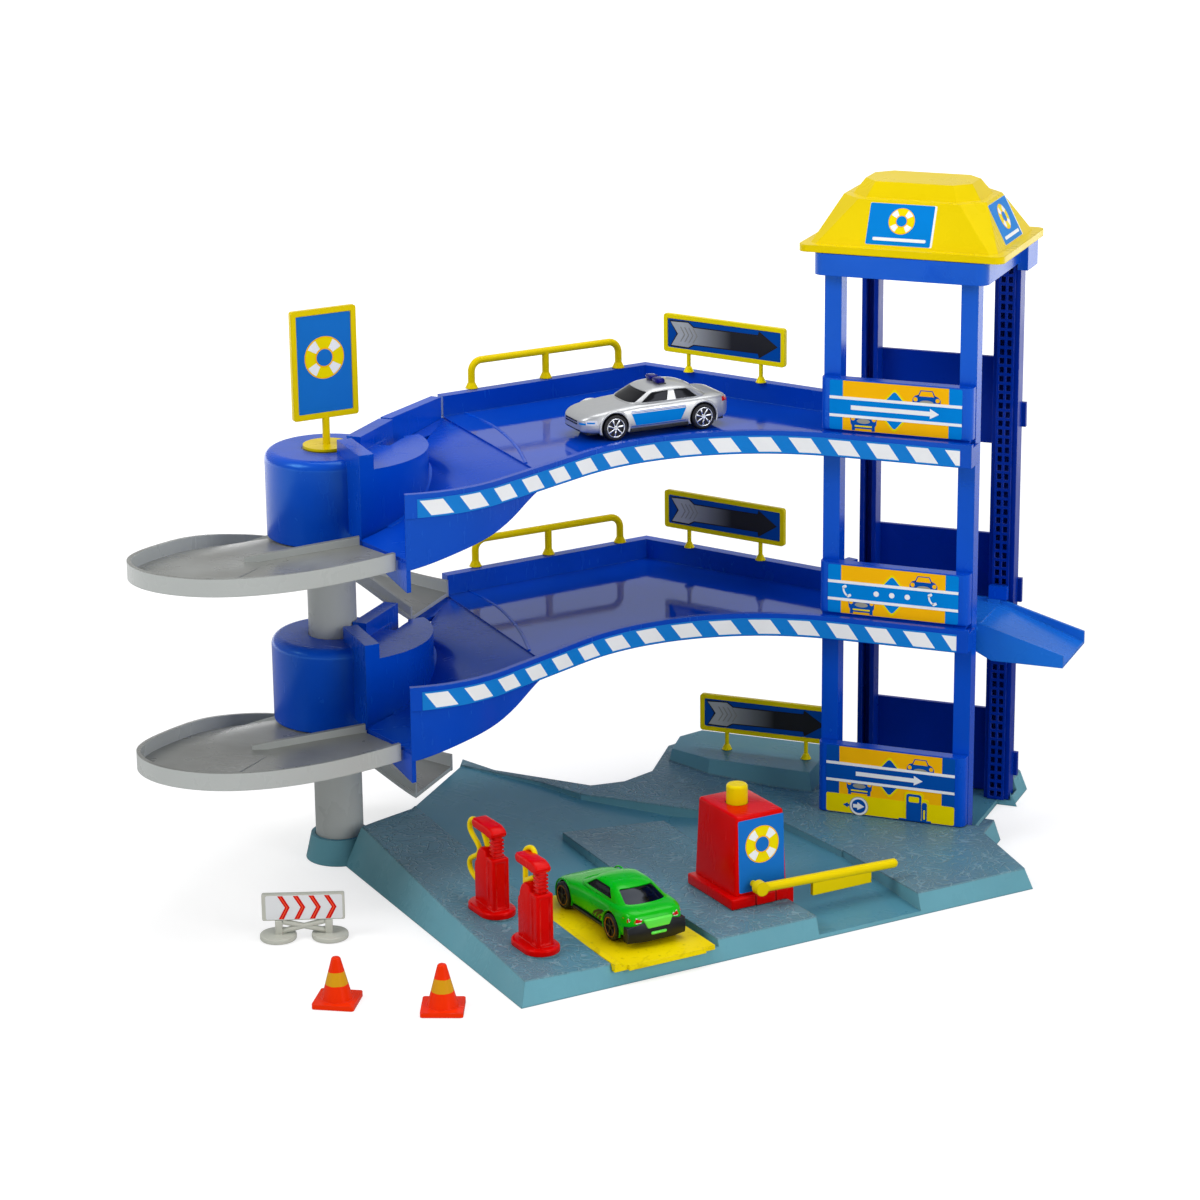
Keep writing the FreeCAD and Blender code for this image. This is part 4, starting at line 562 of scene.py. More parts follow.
def car_front(x, y, width, layer, upper):
    """A small car seen from the front, cut off by the band that it looks out from."""
    k = width / 12.4
    if upper:
        parts = [([(-3.9, 3.4), (-2.7, 6.0), (2.7, 6.0), (3.9, 3.4)], 0, ink_blue_and_shaded_sky),
                 ([(-3.3, 3.4), (-2.4, 5.6), (2.4, 5.6), (3.3, 3.4)], 1, ink_orange),
                 ([(-6.2, 0.0), (-6.2, 2.0), (-5.2, 3.4), (-3.9, 3.9), (3.9, 3.9), (5.2, 3.4), (6.2, 2.0),
                   (6.2, 0.0)], 0, ink_blue_and_shaded_sky)]
        lamps = 1.9
        grille = 0.6
    else:
        parts = [([(-6.2, 0.0), (-6.0, -3.2), (-5.4, -4.2), (-5.4, -6.3), (-3.9, -6.3), (-3.9, -5.4),
                   (3.9, -5.4), (3.9, -6.3), (5.4, -6.3), (5.4, -4.2), (6.0, -3.2), (6.2, 0.0)], 0,
                  ink_blue_and_shaded_sky),
                 (plate_points(-4.0, -4.6, 4.0, -3.9), 1, ink_yellow)]
        lamps = -0.9
        grille = -1.9
    shapes = [(moved_points(points, x, y, k), layer + above, material) for points, above, material in parts]
    for side in (-1, 1):
        lamp = disc_points(x + side * 4.9 * k, y + lamps * k, 0.95 * k, steps=14)
        shapes.append((lamp, layer + 1, ink_orange))
    shapes.append((disc_points(x, y + grille * k, 3.1 * k, 1.1 * k), layer + 1, ink_grey))
    return shapes


def diamond(x, y, half_width, half_height, rounding):
    """A diamond with rounded tips."""
    points = []
    for dx, dy in ((1, 0), (0, 1), (-1, 0), (0, -1)):
        tip = Vector((dx * half_width, dy * half_height))
        for side in (-1, 1):
            other = Vector((-side * dy * half_width, side * dx * half_height))
            points.append(tip + (other - tip) * rounding)
        points.insert(len(points) - 1, tip + (points[-2] + points[-1] - 2 * tip) * 0.3)
    return [(x + p.x, y + p.y) for p in points]


def panel_shapes(z0, z1, line_low, line_high, field, emblem):
    """The sticker of a front panel, with x from the tower's corner and y as the height."""
    middle = (line_low + line_high) / 2
    shapes = [
        (plate_points(panel_left, z0, panel_right, z1, 0.8), 0, field),
        (plate_points(10.3, z0, 57.2, z1), 1, ink_orange),
        (diamond(33.3, middle, 8.6, 9.8, 0.1), 2, ink_yellow),
        (diamond(33.3, middle, 7.5, 8.6, 0.1), 3, field),
    ]
    shapes += car_front(47.4, line_high, 12.4, 2, True)
    shapes += car_front(19.6, line_low, 11.8, 2, False)
    shapes.append((plate_points(panel_left, line_low, panel_right, line_high), 4, field))
    for line in (line_low, line_high):
        shapes.append((plate_points(panel_left, line - 0.62, panel_right, line + 0.62), 5, ink_white))
    return shapes + emblem


def handset(x, y, layer):
    """A telephone handset, leaning to the left."""
    turn = math.radians(28)
    turns = [math.radians(angle) for angle in range(-62, 63, 12)]
    arc = [(-0.5 - 1.5 * math.cos(angle), 3.1 * math.sin(angle)) for angle in turns]
    inner = [(px + 0.95, py * 0.9) for px, py in reversed(arc)]
    ends = [plate_points(-1.3, low, 1.2, low + 1.5, 0.5, 2) for low in (-3.5, 2.0)]
    shapes = []
    for points in [arc + inner] + ends:
        leaned = [(px * math.cos(turn) - py * math.sin(turn), px * math.sin(turn) + py * math.cos(turn))
                  for px, py in points]
        shapes.append((moved_points(leaned, x, y, 0.8), layer, ink_white))
    return shapes


def arrow_right(x, y, length, height, layer, material):
    head = height * 0.9
    stem = height * 0.22
    points = [(0, -stem), (length - head, -stem), (length - head, -height / 2), (length, 0),
              (length - head, height / 2), (length - head, stem), (0, stem)]
    return (moved_points(points, x, y), layer, material)


panel_place = facing(corner(0, -5.6), (1, 0, 0), (0, 0, 1))
upper_mark = [arrow_right(14.0, 193.9, 39.0, 4.4, 6, ink_white)]
middle_mark = handset(13.0, 111.9, 6) + handset(51.5, 111.9, 6)
middle_mark += [(disc_points(x, 111.9, 1.2, steps=18), 6, ink_white) for x in (26.3, 33.3, 40.3)]
lower_mark = [
    (plate_points(panel_left, 9.7, panel_right, 18.3, 0.8), 2, ink_yellow),
    (disc_points(19.5, 13.4, 4.4), 3, ink_grey),
    (disc_points(19.5, 13.4, 4.1), 4, ink_white),
    (disc_points(19.5, 13.4, 3.2), 5, ink_blue_and_shaded_sky),
    arrow_right(16.9, 13.4, 5.2, 3.6, 6, ink_white),
    ([(14.4, 12.2), (14.4, 12.9), (15.2, 12.9), (15.2, 13.9), (14.4, 13.9), (14.4, 14.6), (12.2, 13.4)], 3,
     ink_blue_and_shaded_sky),
    (plate_points(40.3, 9.7, 49.1, 22.9, 1.4), 4, ink_yellow),
    (plate_points(47.0, 9.7, 51.6, 20.2, 1.2), 5, ink_yellow),
    (plate_points(38.0, 9.7, 52.6, 10.4), 6, ink_blue_and_shaded_sky),
    (plate_points(41.3, 10.0, 48.1, 22.1, 1.1), 7, ink_blue_and_shaded_sky),
    (plate_points(42.4, 18.4, 47.1, 21.0, 0.5), 8, ink_yellow),
    (plate_points(48.4, 10.0, 50.7, 18.8, 1.0), 8, ink_blue_and_shaded_sky),
    (plate_points(49.1, 11.0, 49.9, 15.4, 0.3), 9, ink_yellow),
    arrow_right(18.0, 28.5, 30.5, 4.4, 6, ink_white),
]
# The lower panel's field takes the darker blue ink in place of sky blue: painted shade.
for name, z0, z1, line_low, line_high, field, mark in (
        ("upper", 183.8, 205.4, 190.0, 197.85, ink_sky, upper_mark),
        ("middle", 101.8, 123.4, 108.0, 115.85, ink_sky, middle_mark),
        ("lower", 9.7, 40.4, 24.6, 32.5, ink_blue_and_shaded_sky, lower_mark)):
    sticker("panel_sticker_" + name, "station", "blue_plastic", panel_place,
            panel_shapes(z0, z1, line_low, line_high, field, mark))


def lifebuoy(x, y, radius, layer, field):
    """The emblem of the roof, the flag and the booth, as on any rescue post."""
    shapes = [(disc_points(x, y, radius * 1.06, steps=40), layer, ink_orange),
              (disc_points(x, y, radius, steps=40), layer + 1, ink_yellow)]
    for middle in (45, 135, 225, 315):
        low = middle - 17
        high = middle + 17
        band = arc_points(x, y, radius * 0.99, low, high, 4) + arc_points(x, y, radius * 0.5, high, low, 4)
        shapes.append((band, layer + 2, ink_white))
    shapes.append((disc_points(x, y, radius * 0.5, steps=32), layer + 2, ink_orange))
    shapes.append((disc_points(x, y, radius * 0.42, steps=32), layer + 3, field))
    return shapes


# Roof stickers on its sloping front and right side: the slope's lower and upper edge, the way to the right,
# the shift along X, half the width, and where on the slope the sticker starts and ends
for name, near, far, right, shift, half, start, end in (
        ("front", (0, -30.3, 262.6), (0, -21.2, 281.2), (1, 0, 0), -1.7, 14.6, 0.06, 0.94),
        ("right", (41.0, 0, 262.6), (31.5, 0, 281.2), (0, 1, 0), 0.0, 13.4, 0.05, 0.93)):
    near = Vector(near) * MM
    far = Vector(far) * MM
    length = (far - near).length / MM
    low = start * length
    high = end * length
    shapes = [(plate_points(-half, low, half, high, 0.6), 0, ink_white),
              (plate_points(-half + 0.1, low + 0.1, half - 0.9, high - 0.1, 0.6), 1, ink_sky)]
    shapes += lifebuoy(0, (low + high) / 2 + 1.6, 5.4, 2, ink_sky)
    shapes.append((plate_points(-half + 3, low + 1.9, half - 3, low + 3.3, 0.5), 2, ink_white))
    place = facing(near + Vector((shift * MM, 0, 0)), right, far - near)
    sticker("roof_sticker_" + name, "station", "yellow_plastic", place, shapes)

# Direction signs: a blue field and a fading arrow
arrow = [(-28.0, 5.2), (-24.2, 0.0), (-27.7, -5.5), (-18.8, -5.6), (-16.0, -4.0), (18.3, -3.6), (18.8, -5.2),
         (27.2, 0.0), (18.8, 5.2), (18.3, 3.9), (-16.0, 3.6), (-18.8, 5.6)]
arrow_edge = [(-28.8, 5.8), (-25.0, 0.0), (-28.4, -6.1), (-18.6, -6.2), (-15.8, -4.5), (17.8, -4.1),
              (18.3, -6.2), (28.0, 0.0), (18.3, 6.2), (17.8, 4.4), (-15.8, 4.1), (-18.6, 6.2)]
tail_bar = [(1.9, 3.4), (2.5, 3.4), (4.6, 0), (2.5, -3.4), (1.9, -3.4), (4.0, 0)]
sign_shapes = [(plate_points(-29.6, -6.6, 29.6, 6.6, 0.7), 0, ink_blue_and_shaded_sky), (arrow_edge, 1, ink_black),
               (arrow, 2, ink_arrow)]
for step in range(4):
    sign_shapes.append((moved_points(tail_bar, -25.0 + step * 2.2, 0), 3, ink_grey))
for name, place, angle in (("lower", corner(-60, 41, lower_deck + 26.1), -12.5),
                           ("upper", corner(-60, 41, upper_deck + 26.1), -12.5),
                           ("base", corner(-37.4, 34.0, 34.6), 0)):
    sticker("sign_sticker_" + name, "station", "yellow_plastic", upright(place, angle, 0.6), sign_shapes)

# Sign on top of the spiral
flag_place = upright(corner(*core_axis, upper_deck + 15.4), base_turn, 0.6)
flag_shapes = [(plate_points(-12.5, 2.5, 12.5, 44.5, 0.6), 0, ink_flag)]
flag_shapes += lifebuoy(0, 26.0, 8.6, 1, ink_flag)
sticker("flag_sticker", "flag", "yellow_plastic", flag_place, flag_shapes)

# Sticker on the booth's front, which leans back a little
lean = 1.2 / 34.0
right = (on_base(1, 0) - on_base(0, 0)).normalized()
back = (on_base(0, 1) - on_base(0, 0)).normalized()
booth_place = facing(on_base(127.75, 27.3, 14.0), right, Vector((0, 0, 1)) + back * lean)
booth_shapes = [(plate_points(-11.0, 0.8, 11.0, 32.2, 0.8), 0, ink_flag)]
booth_shapes += lifebuoy(0.4, 20.5, 7.6, 1, ink_flag)
sticker("booth_sticker", "station", "red_plastic", booth_place, booth_shapes)

# Road sign: red chevrons on a white field, each with a lighter line in it
chevron = [(0, 4.9), (2.1, 4.9), (5.0, -0.2), (2.4, -5.3), (0.3, -5.3), (3.0, -0.2)]
chevron_line = [(0.8, 4.8), (1.3, 4.8), (4.2, -0.2), (1.6, -5.2), (1.1, -5.2), (3.7, -0.2)]
road_shapes = [(plate_points(-15.4, -5.4, 16.1, 5.1, 0.8), 0, ink_field)]
for step in range(4):
    x = -10.5 + step * 6.4
    road_shapes.append((moved_points(chevron, x, 0), 1, ink_red))
    road_shapes.append((moved_points(chevron_line, x, 0), 2, ink_scarlet))
sticker("road_sign_sticker", "road_sign", "white_plastic", upright(corner(*sign_spot, 14.1), sign_turn, 1.0),
        road_shapes)


# Striped ribbon along the front of each deck
def side_of(heading):
    """The direction to the left of a heading."""
    return Vector((-math.sin(heading), math.cos(heading)))


def front_path(spacing):
    """Places along the decks' front from right to left in plan, each with its run and outward direction."""
    spots = []
    place = Vector((69.0, -11.0))
    heading = math.pi
    run = 0.0
    for radius, amount in ((0, 60.0), (94.0, 72.5), (0, 52.7), (-62.0, 41.8)):
        length = abs(radius) * math.radians(amount) if radius else amount
        steps = max(2, round(length / spacing))
        stretch = []
        for step in range(steps + 1):
            s = length * step / steps
            if radius:
                turned = heading + s / radius
                spot = place + (side_of(heading) - side_of(turned)) * radius
            else:
                turned = heading
                spot = place + Vector((math.cos(heading), math.sin(heading))) * s
            stretch.append((spot, run + s, side_of(turned)))
        spots += stretch[:-1]
        place = spot
        heading = turned
        run += length
    return spots + stretch[-1:]


def striped_ink():
    """White leaning bars on sky blue, measured along the ribbon."""
    material, tree, surface, place = start_material("ink_ribbon_stripes")
    u, v = axes_of(tree, add(tree, "UVMap").outputs[0])[:2]
    leaning = calc(tree, "ADD", u, calc(tree, "MULTIPLY", v, -5.7))
    share = calc(tree, "FRACT", calc(tree, "DIVIDE", calc(tree, "ADD", leaning, 3.4), 17.28))
    stripe = calc(tree, "MULTIPLY", calc(tree, "LESS_THAN", share, 0.565), within(tree, v, 0.09, 0.91))
    base = mixed(tree, stripe, tint(0, 122, 208), tint(238, 240, 243))
    shades = {0: 1.0, 6: base, 7: clouds(tree, place, 60.0, 0.94, 1.0)}
    base = add(tree, "Mix", shades, data_type="RGBA", blend_type="MULTIPLY").outputs[2]
    film(tree, surface, place, base, 70.0, (0.26, 0.4), 120.0)
    return material


stripes = striped_ink()
spots = front_path(2.5)[2:-2]
for name, level in (("lower", lower_deck), ("upper", upper_deck)):
    ribbon = grid_piece(len(spots) - 1)
    layer = ribbon.data.uv_layers.active.data
    order = {}
    for vertex in ribbon.data.vertices:
        spot, run, out = spots[column_of(vertex, len(spots) - 1)]
        upper = vertex.co.y > 0
        order[vertex.index] = (run, 1.0 if upper else 0.0)
        edge = spot + out * 0.02
        vertex.co = (edge.x - tower_x, edge.y - tower_y, level + (-0.5 if upper else -8.3))
    for loop in ribbon.data.loops:
        layer[loop.index].uv = order[loop.vertex_index]
    edit(ribbon, whole=True)
    bpy.ops.mesh.normals_make_consistent(inside=False)
    close_edit()
    if ribbon.data.polygons[0].normal.y > 0:
        ribbon.data.flip_normals()
    modify(ribbon, "SOLIDIFY", thickness=0.12, offset=1.0)
    finish_piece(dressed(ribbon, stripes), "fascia_ribbon_" + name, "station", "blue_plastic", to_metres, 40)


# Curved bodies
def rounded_block(power, place, holes=()):
    """A cube, divided, rounded off at its edges, with each spot carried over to its place on the piece."""
    deselect()
    bpy.ops.mesh.primitive_cube_add(size=2.0)
    piece = bpy.context.object
    edit(piece, whole=True)
    bpy.ops.mesh.subdivide(number_cuts=15)
    for wanted in holes:
        pick(piece, wanted)
        bpy.ops.mesh.delete(type="FACE")
    close_edit()
    for vertex in piece.data.vertices:
        spot = vertex.co.copy()
        spot /= sum(abs(value) ** power for value in spot) ** (1 / power)
        vertex.co = place(*spot)
    return piece


def underside(middle, normal):
    return normal.z < -0.5


def between(rows, x):
    """A value read off rows of a place and a value."""
    for (x0, low), (x1, high) in zip(rows, rows[1:]):
        if x <= x1:
            return low + (high - low) * max(0.0, (x - x0) / (x1 - x0))
    return rows[-1][1]


def patch(rows, axis, side, target, material, lift):
    """A thin printed shape between two matching lines, laid on a curved body from one side."""
    columns = len(rows[0]) - 1
    piece = grid_piece(columns, 2)
    flat = [index for index in range(3) if index != axis]
    for vertex in piece.data.vertices:
        column = column_of(vertex, columns)
        spot = Vector(rows[0][column]).lerp(Vector(rows[1][column]), (vertex.co.y + 1) / 2)
        vertex.co[axis] = side * 50.0
        vertex.co[flat[0]] = spot.x
        vertex.co[flat[1]] = spot.y
    settings = {"target": target, "wrap_method": "PROJECT", "use_project_" + "xyz"[axis]: True,
                "offset": lift, "use_positive_direction": side < 0, "use_negative_direction": side > 0}
    modify(piece, "SHRINKWRAP", **settings)
    missed = (38.0, 20.0, 26.0)[axis]
    edit(piece)
    pick(piece, lambda middle, normal: abs(middle[axis]) > missed)
    bpy.ops.mesh.delete(type="FACE")
    close_edit()
    modify(piece, "SOLIDIFY", thickness=0.1, offset=0.0)
    return dressed(piece, material)


def bar(x0, x1, z0, z1, count=2):
    """Two matching lines of a level band."""
    steps = [x0 + (x1 - x0) * step / count for step in range(count + 1)]
    return [[(x, z0) for x in steps], [(x, z1) for x in steps]]


def rod_piece(radius, start, end, vertices=16):
    """A round rod between two places."""
    start = Vector(start)
    way = Vector(end) - start
    deselect()
    bpy.ops.mesh.primitive_cylinder_add(vertices=vertices, radius=radius, depth=way.length)
    piece = bpy.context.object
    turn = way.to_track_quat("Z", "Y").to_matrix().to_4x4()
    piece.data.transform(Matrix.Translation(start + way / 2) @ turn)
    return piece


def ring_piece(radius, wire, place, around, across):
    """A ring about the Y direction, with its numbers of segments round the ring and round its wire."""
    deselect()
    bpy.ops.mesh.primitive_torus_add(major_segments=around, minor_segments=across, major_radius=radius,
                                     minor_radius=wire, rotation=(math.pi / 2, 0, 0), location=place)
    bpy.ops.object.transform_apply(location=True, rotation=True, scale=False)
    return bpy.context.object


def block_piece(low, high, bevel=0.0, segments=3):
    """A block with softened edges."""
    low = Vector(low)
    high = Vector(high)
    deselect()
    bpy.ops.mesh.primitive_cube_add(size=1.0)
    piece = bpy.context.object
    piece.data.transform(Matrix.Translation((low + high) / 2) @ Matrix.Diagonal((*(high - low), 1.0)))
    if bevel:
        edit(piece, whole=True)
        bpy.ops.mesh.bevel(offset=bevel, segments=segments, affect="EDGES")
        close_edit()
    return piece


def car_hull(car):
    """The painted shell below the windows, open below, with its four wheel arches cut out."""
    length = car["length"] / 2
    width = car["width"] / 2

    def place(u, v, w):
        x = u * length
        top = between(car["top"], x)
        z = car["sill"] + (w + 1) / 2 * (top - car["sill"])
        lean = 1.0 - car["tumble"] * abs((w + 1) / 2 - 0.45) ** 2
        return Vector((x, v * width * between(car["plan"], x) * lean, z))

    hull = rounded_block(7.0, place, [underside])
    modify(hull, "SUBSURF", levels=1)
    modify(hull, "SOLIDIFY", thickness=1.1, offset=-1.0)
    for x in (-car["wheelbase"] / 2, car["wheelbase"] / 2):
        cut(rod_piece(car["wheel"] + 0.9, (x, -40, car["wheel"]), (x, 40, car["wheel"]), 48), hull)
    return dressed(hull, car["paint"])


def car_cabin(car):
    """The cabin's shell with its window openings, and the glass inside it."""
    base, roof = car["cabin"]

    def place(u, v, w):
        share = (w + 1) / 2
        x = (base[0] + (base[1] - base[0]) * (u + 1) / 2) * (1 - share)
        x += (roof[0] + (roof[1] - roof[0]) * (u + 1) / 2) * share
        crown = max(0.0, share - 0.55) / 0.45 * (1.0 - 0.5 * (u * u + v * v))
        half = base[2] + (roof[2] - base[2]) * share
        bow = (1.0 - v * v) * abs(u) ** 3 * math.copysign(car["bow"], u)
        return Vector((x + bow, v * half, base[3] + (roof[3] - base[3]) * share + crown * 0.9))

    def opening(middle, normal):
        u, v, w = middle
        if normal.z > 0.5:
            return False
        if abs(normal.x) > 0.5:
            low, high = car["front_glass" if normal.x > 0 else "rear_glass"]
            return abs(v) < 0.84 and low < w < high
        return any(u0 < u < u1 and w0 < w < w1 for u0, u1, w0, w1 in car["side_glass"])

    shell = rounded_block(6.0, place, [underside, opening])
    modify(shell, "SUBSURF", levels=1, boundary_smooth="ALL")
    modify(shell, "SOLIDIFY", thickness=0.5, offset=-1.0)
    glass = rounded_block(6.0, place)
    modify(glass, "SUBSURF", levels=1)
    edit(glass, whole=True)
    bpy.ops.mesh.normals_make_consistent(inside=False)
    bpy.ops.transform.shrink_fatten(value=-0.42)
    close_edit()
    return dressed(shell, car["paint"]), dressed(glass, car["glass"])


def car_wheel(car):
    """A wheel with its outer side towards +Y, about its own middle: tyre, rim, dish, spokes and hub."""
    radius = car["wheel"]
    half = 2.0
    swell = 0.45                    # how far the tyre's sides bulge before the wheel is drawn in again
    deselect()
    bpy.ops.mesh.primitive_cylinder_add(vertices=48, radius=radius, depth=2 * half,
                                        rotation=(math.pi / 2, 0, 0))
    tyre = bpy.context.object
    bpy.ops.object.transform_apply(location=False, rotation=True, scale=False)
    edit(tyre)
    pick(tyre, lambda middle, normal: abs(normal.y) > 0.9)
    bpy.ops.mesh.inset(thickness=0.5)
    bpy.ops.transform.resize(value=(1.0, 1.0 + swell / half, 1.0))
    pick(tyre, lambda middle, normal: normal.y > 0.9 and abs(middle.x) + abs(middle.z) < 0.5)
    bpy.ops.mesh.inset(thickness=radius * 0.22, depth=-0.12)
    bpy.ops.mesh.inset(thickness=0.12, depth=-0.9)
    close_edit()
    tyre.data.transform(Matrix.Diagonal((1.0, half / (half + swell), 1.0, 1.0)))
    ring = ring_piece(radius * 0.72, 0.24, (0, half - 0.2, 0), 48, 8)
    pieces = [dressed(tyre, tyre_black), dressed(ring, car["rim"])]
    spoke = block_piece((0.6, half - 0.75, -0.42), (radius * 0.72, half - 0.3, 0.42), 0.16, 2)
    for vertex in spoke.data.vertices:
        reach = vertex.co.x / radius
        vertex.co.z = vertex.co.z * (0.6 + reach) + car["swirl"] * reach * reach * 2.6
    pieces.append(dressed(spoke, car["spoke"]))
    for index in range(1, car["spokes"]):
        turned = copied(spoke)
        turned.data.transform(Matrix.Rotation(2 * math.pi * index / car["spokes"], 4, "Y"))
        pieces.append(turned)
    hub = rod_piece(1.0, (0, half - 0.9, 0), (0, half - 0.15, 0), 20)
    pieces.append(dressed(hub, car["spoke"]))
    return joined(pieces)


def build_car(name, car, place, body):
    """Shell, arch lips, glass, wheels and printed marks of a model car."""
    hull = car_hull(car)
    cabin, glass = car_cabin(car)
    width = car["width"] / 2
    lips = []
    for x in (-car["wheelbase"] / 2, car["wheelbase"] / 2):
        for side in (-1, 1):
            reach = width * between(car["plan"], x) - 0.75
            lip = ring_piece(car["wheel"] + 1.35, car["lip"], (x, side * reach, car["wheel"]), 56, 10)
            edit(lip, whole=True)
            bpy.ops.mesh.bisect(plane_co=(0, 0, car["sill"] + 0.2), plane_no=(0, 0, 1), clear_inner=True,
                                use_fill=True)
            close_edit()
            lips.append(dressed(lip, car["paint"]))
    marks = {}
    for rows, axis, side, material, slot in car["marks"]:
        mark = patch(rows, axis, side, hull, material, 0.08 if slot == "lenses" else 0.03)
        marks.setdefault(slot, []).append(mark)
    finish_piece(joined([hull, cabin] + lips), name + "_shell", body, car["slot"], place, 38,
                 replaces=[name + "_body"])
    finish_piece(glass, name + "_glass", body, "window_plastic", place, 50, replaces=[name + "_windows"])
    for slot, pieces in marks.items():
        finish_piece(joined(pieces), name + "_" + slot, body, car["slots"][slot], place, 60)
    wheel = car_wheel(car)
    half_turn = Matrix.Rotation(math.pi, 4, "Z")
    for end, sign in (("front", 1), ("rear", -1)):
        x = sign * car["wheelbase"] / 2
        left = copied(wheel)
        left.data.transform(Matrix.Translation((x, width - 2.0, car["wheel"])))
        right = copied(wheel)
        right.data.transform(Matrix.Translation((x, -width + 2.0, car["wheel"])) @ half_turn)
        axle = rod_piece(0.55, (x, -width + 1.5, car["wheel"]), (x, width - 1.5, car["wheel"]), 20)
        finish_piece(joined([left, right, dressed(axle, steel)]), name + "_wheel_set_" + end,
                     name + "_" + end + "_wheels", "wheel_plastic", place, 38,
                     replaces=[name + "_wheels_" + end])
    bpy.data.objects.remove(wheel)


def both_sides(rows, material, slot):
    return [(rows, 1, side, material, slot) for side in (-1, 1)]


silver_marks = both_sides([[(-10.2, 5.6), (-4, 5.5), (3, 5.4), (11.2, 5.4)],
                           [(-12.8, 10.6), (-5, 10.6), (4, 10.6), (13.2, 10.6)]], ink_sky, "marks")
for z0, z1 in ((4.9, 5.2), (10.9, 11.15), (11.45, 11.7)):
    silver_marks += both_sides(bar(-12.6, 13.4, z0, z1, 6), ink_blue_and_shaded_sky, "marks")
for x in (-6.6, 5.2):
    silver_marks += both_sides([[(x, 3.6), (x + 0.2, 13.0)], [(x + 0.22, 3.6), (x + 0.42, 13.0)]],
                               grey_glass, "trim")
silver_marks += both_sides(bar(-1.2, 1.4, 11.9, 12.5, 2), chrome, "trim")
silver_marks += both_sides(bar(-33.8, -30.6, 11.0, 12.9, 3), red_lens, "lamps")
silver_marks += both_sides(bar(29.0, 33.4, 7.2, 9.4, 4), clear_lens, "lamps")
silver_marks += both_sides(bar(30.0, 33.0, 7.9, 8.6, 3), ink_sky, "marks")
for z0, z1 in ((8.0, 8.7), (6.9, 7.6)):
    silver_marks.append((bar(-5.6, 5.6, z0, z1, 8), 0, 1, black_glass, "trim"))
silver_marks.append((bar(-7.4, 7.4, 4.2, 4.9, 8), 0, 1, black_glass, "trim"))
for side in (-1, 1):
    silver_marks.append((bar(side * 7.2, side * 10.0, 7.3, 8.1, 4), 0, 1, ink_sky, "marks"))
    silver_marks.append((bar(side * 6.6, side * 10.0, 10.4, 12.2, 4), 0, -1, red_lens, "lamps"))

SILVER = {
    "wheelbase": 42.0, "wheel": 5.5, "width": 28.0, "length": 71.0, "sill": 2.9, "tumble": 0.16, "bow": 1.6,
    "top": [(-35.5, 12.6), (-33.5, 14.4), (-30.0, 14.7), (-22.0, 14.5), (8.0, 14.2), (16.0, 13.7),
            (26.0, 12.6), (32.0, 11.7), (35.5, 10.3)],
    "plan": [(-35.5, 0.80), (-32.0, 0.93), (-25.0, 0.98), (-18.0, 0.96), (18.0, 0.96), (24.0, 0.97),
             (30.0, 0.93), (35.5, 0.78)],
    "cabin": [(-26.0, 13.5, 12.6, 13.2), (-15.5, 1.5, 9.8, 19.4)],
    "front_glass": (-0.6, 0.68), "rear_glass": (-0.5, 0.66),
    "side_glass": [(-0.72, -0.07, -0.58, 0.62), (0.07, 0.84, -0.58, 0.62)],
    "lip": 0.62, "spokes": 7, "swirl": 1.0, "paint": silver_paint, "glass": grey_glass, "rim": chrome,
    "spoke": chrome, "slot": "silver_paint", "marks": silver_marks,
    "slots": {"marks": "silver_paint", "trim": "window_plastic", "lamps": "lamp_plastic"},
}

green_marks = []
for step in range(3):
    x = -8.6 - step * 2.6
    outer = [(x + 6.4, 3.5), (x + 5.4, 5.2), (x + 3.2, 7.6), (x - 0.6, 9.6), (x - 4.6 + step, 10.6)]
    inner = [(a - 1.6, b - 0.15 * index) for index, (a, b) in enumerate(outer)]
    green_marks += both_sides([outer, inner], ink_black, "marks")
green_marks += both_sides([[(-33.0, 11.6), (-31.0, 12.2), (-28.4, 12.6)],
                           [(-33.0, 10.6), (-31.0, 10.8), (-28.4, 12.3)]], red_lens, "lamps")
for side in (-1, 1):
    lamp = [[(side * 7.0, 12.0), (side * 9.4, 12.8), (side * 12.0, 12.8)],
            [(side * 7.6, 10.6), (side * 9.6, 10.4), (side * 12.0, 11.2)]]
    inner_lamp = [[(y * 0.99, z - 0.4) for y, z in lamp[0]], [(y * 0.99, z + 0.4) for y, z in lamp[1]]]
    green_marks.append((lamp, 0, -1, clear_lens, "lamps"))
    green_marks.append((inner_lamp, 0, -1, red_lens, "lenses"))
GREEN = {
    "wheelbase": 40.0, "wheel": 5.6, "width": 29.0, "length": 67.6, "sill": 3.0, "tumble": 0.3, "bow": 1.8,
    "top": [(-33.8, 14.0), (-32.4, 15.2), (-29.0, 15.5), (-20.0, 15.4), (0.0, 14.8), (12.0, 13.9),
            (22.0, 12.7), (29.0, 10.8), (33.8, 7.8)],
    "plan": [(-33.8, 0.93), (-31.0, 0.98), (-22.0, 1.0), (-10.0, 0.94), (6.0, 0.92), (20.0, 0.98),
             (27.0, 0.90), (33.8, 0.66)],
    "cabin": [(-29.5, 14.0, 12.4, 13.6), (-13.5, 0.0, 8.8, 20.0)],
    "front_glass": (-0.6, 0.74), "rear_glass": (-0.42, 0.7),
    "side_glass": [(-0.5, 0.7, -0.42, 0.6)],
    "lip": 0.4, "spokes": 5, "swirl": 0.2, "paint": green_paint, "glass": black_glass, "rim": bronze,
    "spoke": tyre_black, "slot": "green_paint", "marks": green_marks,
    "slots": {"marks": "green_paint", "lamps": "lamp_plastic", "lenses": "lamp_plastic"},
}

silver_place = standing(corner(-73.2, -22.6, 181.6), -132.8)
green_place = standing(on_base(69.0, 46.0, 8.2), 141.0)
build_car("silver", SILVER, silver_place, "silver_car")
build_car("green", GREEN, green_place, "green_car")

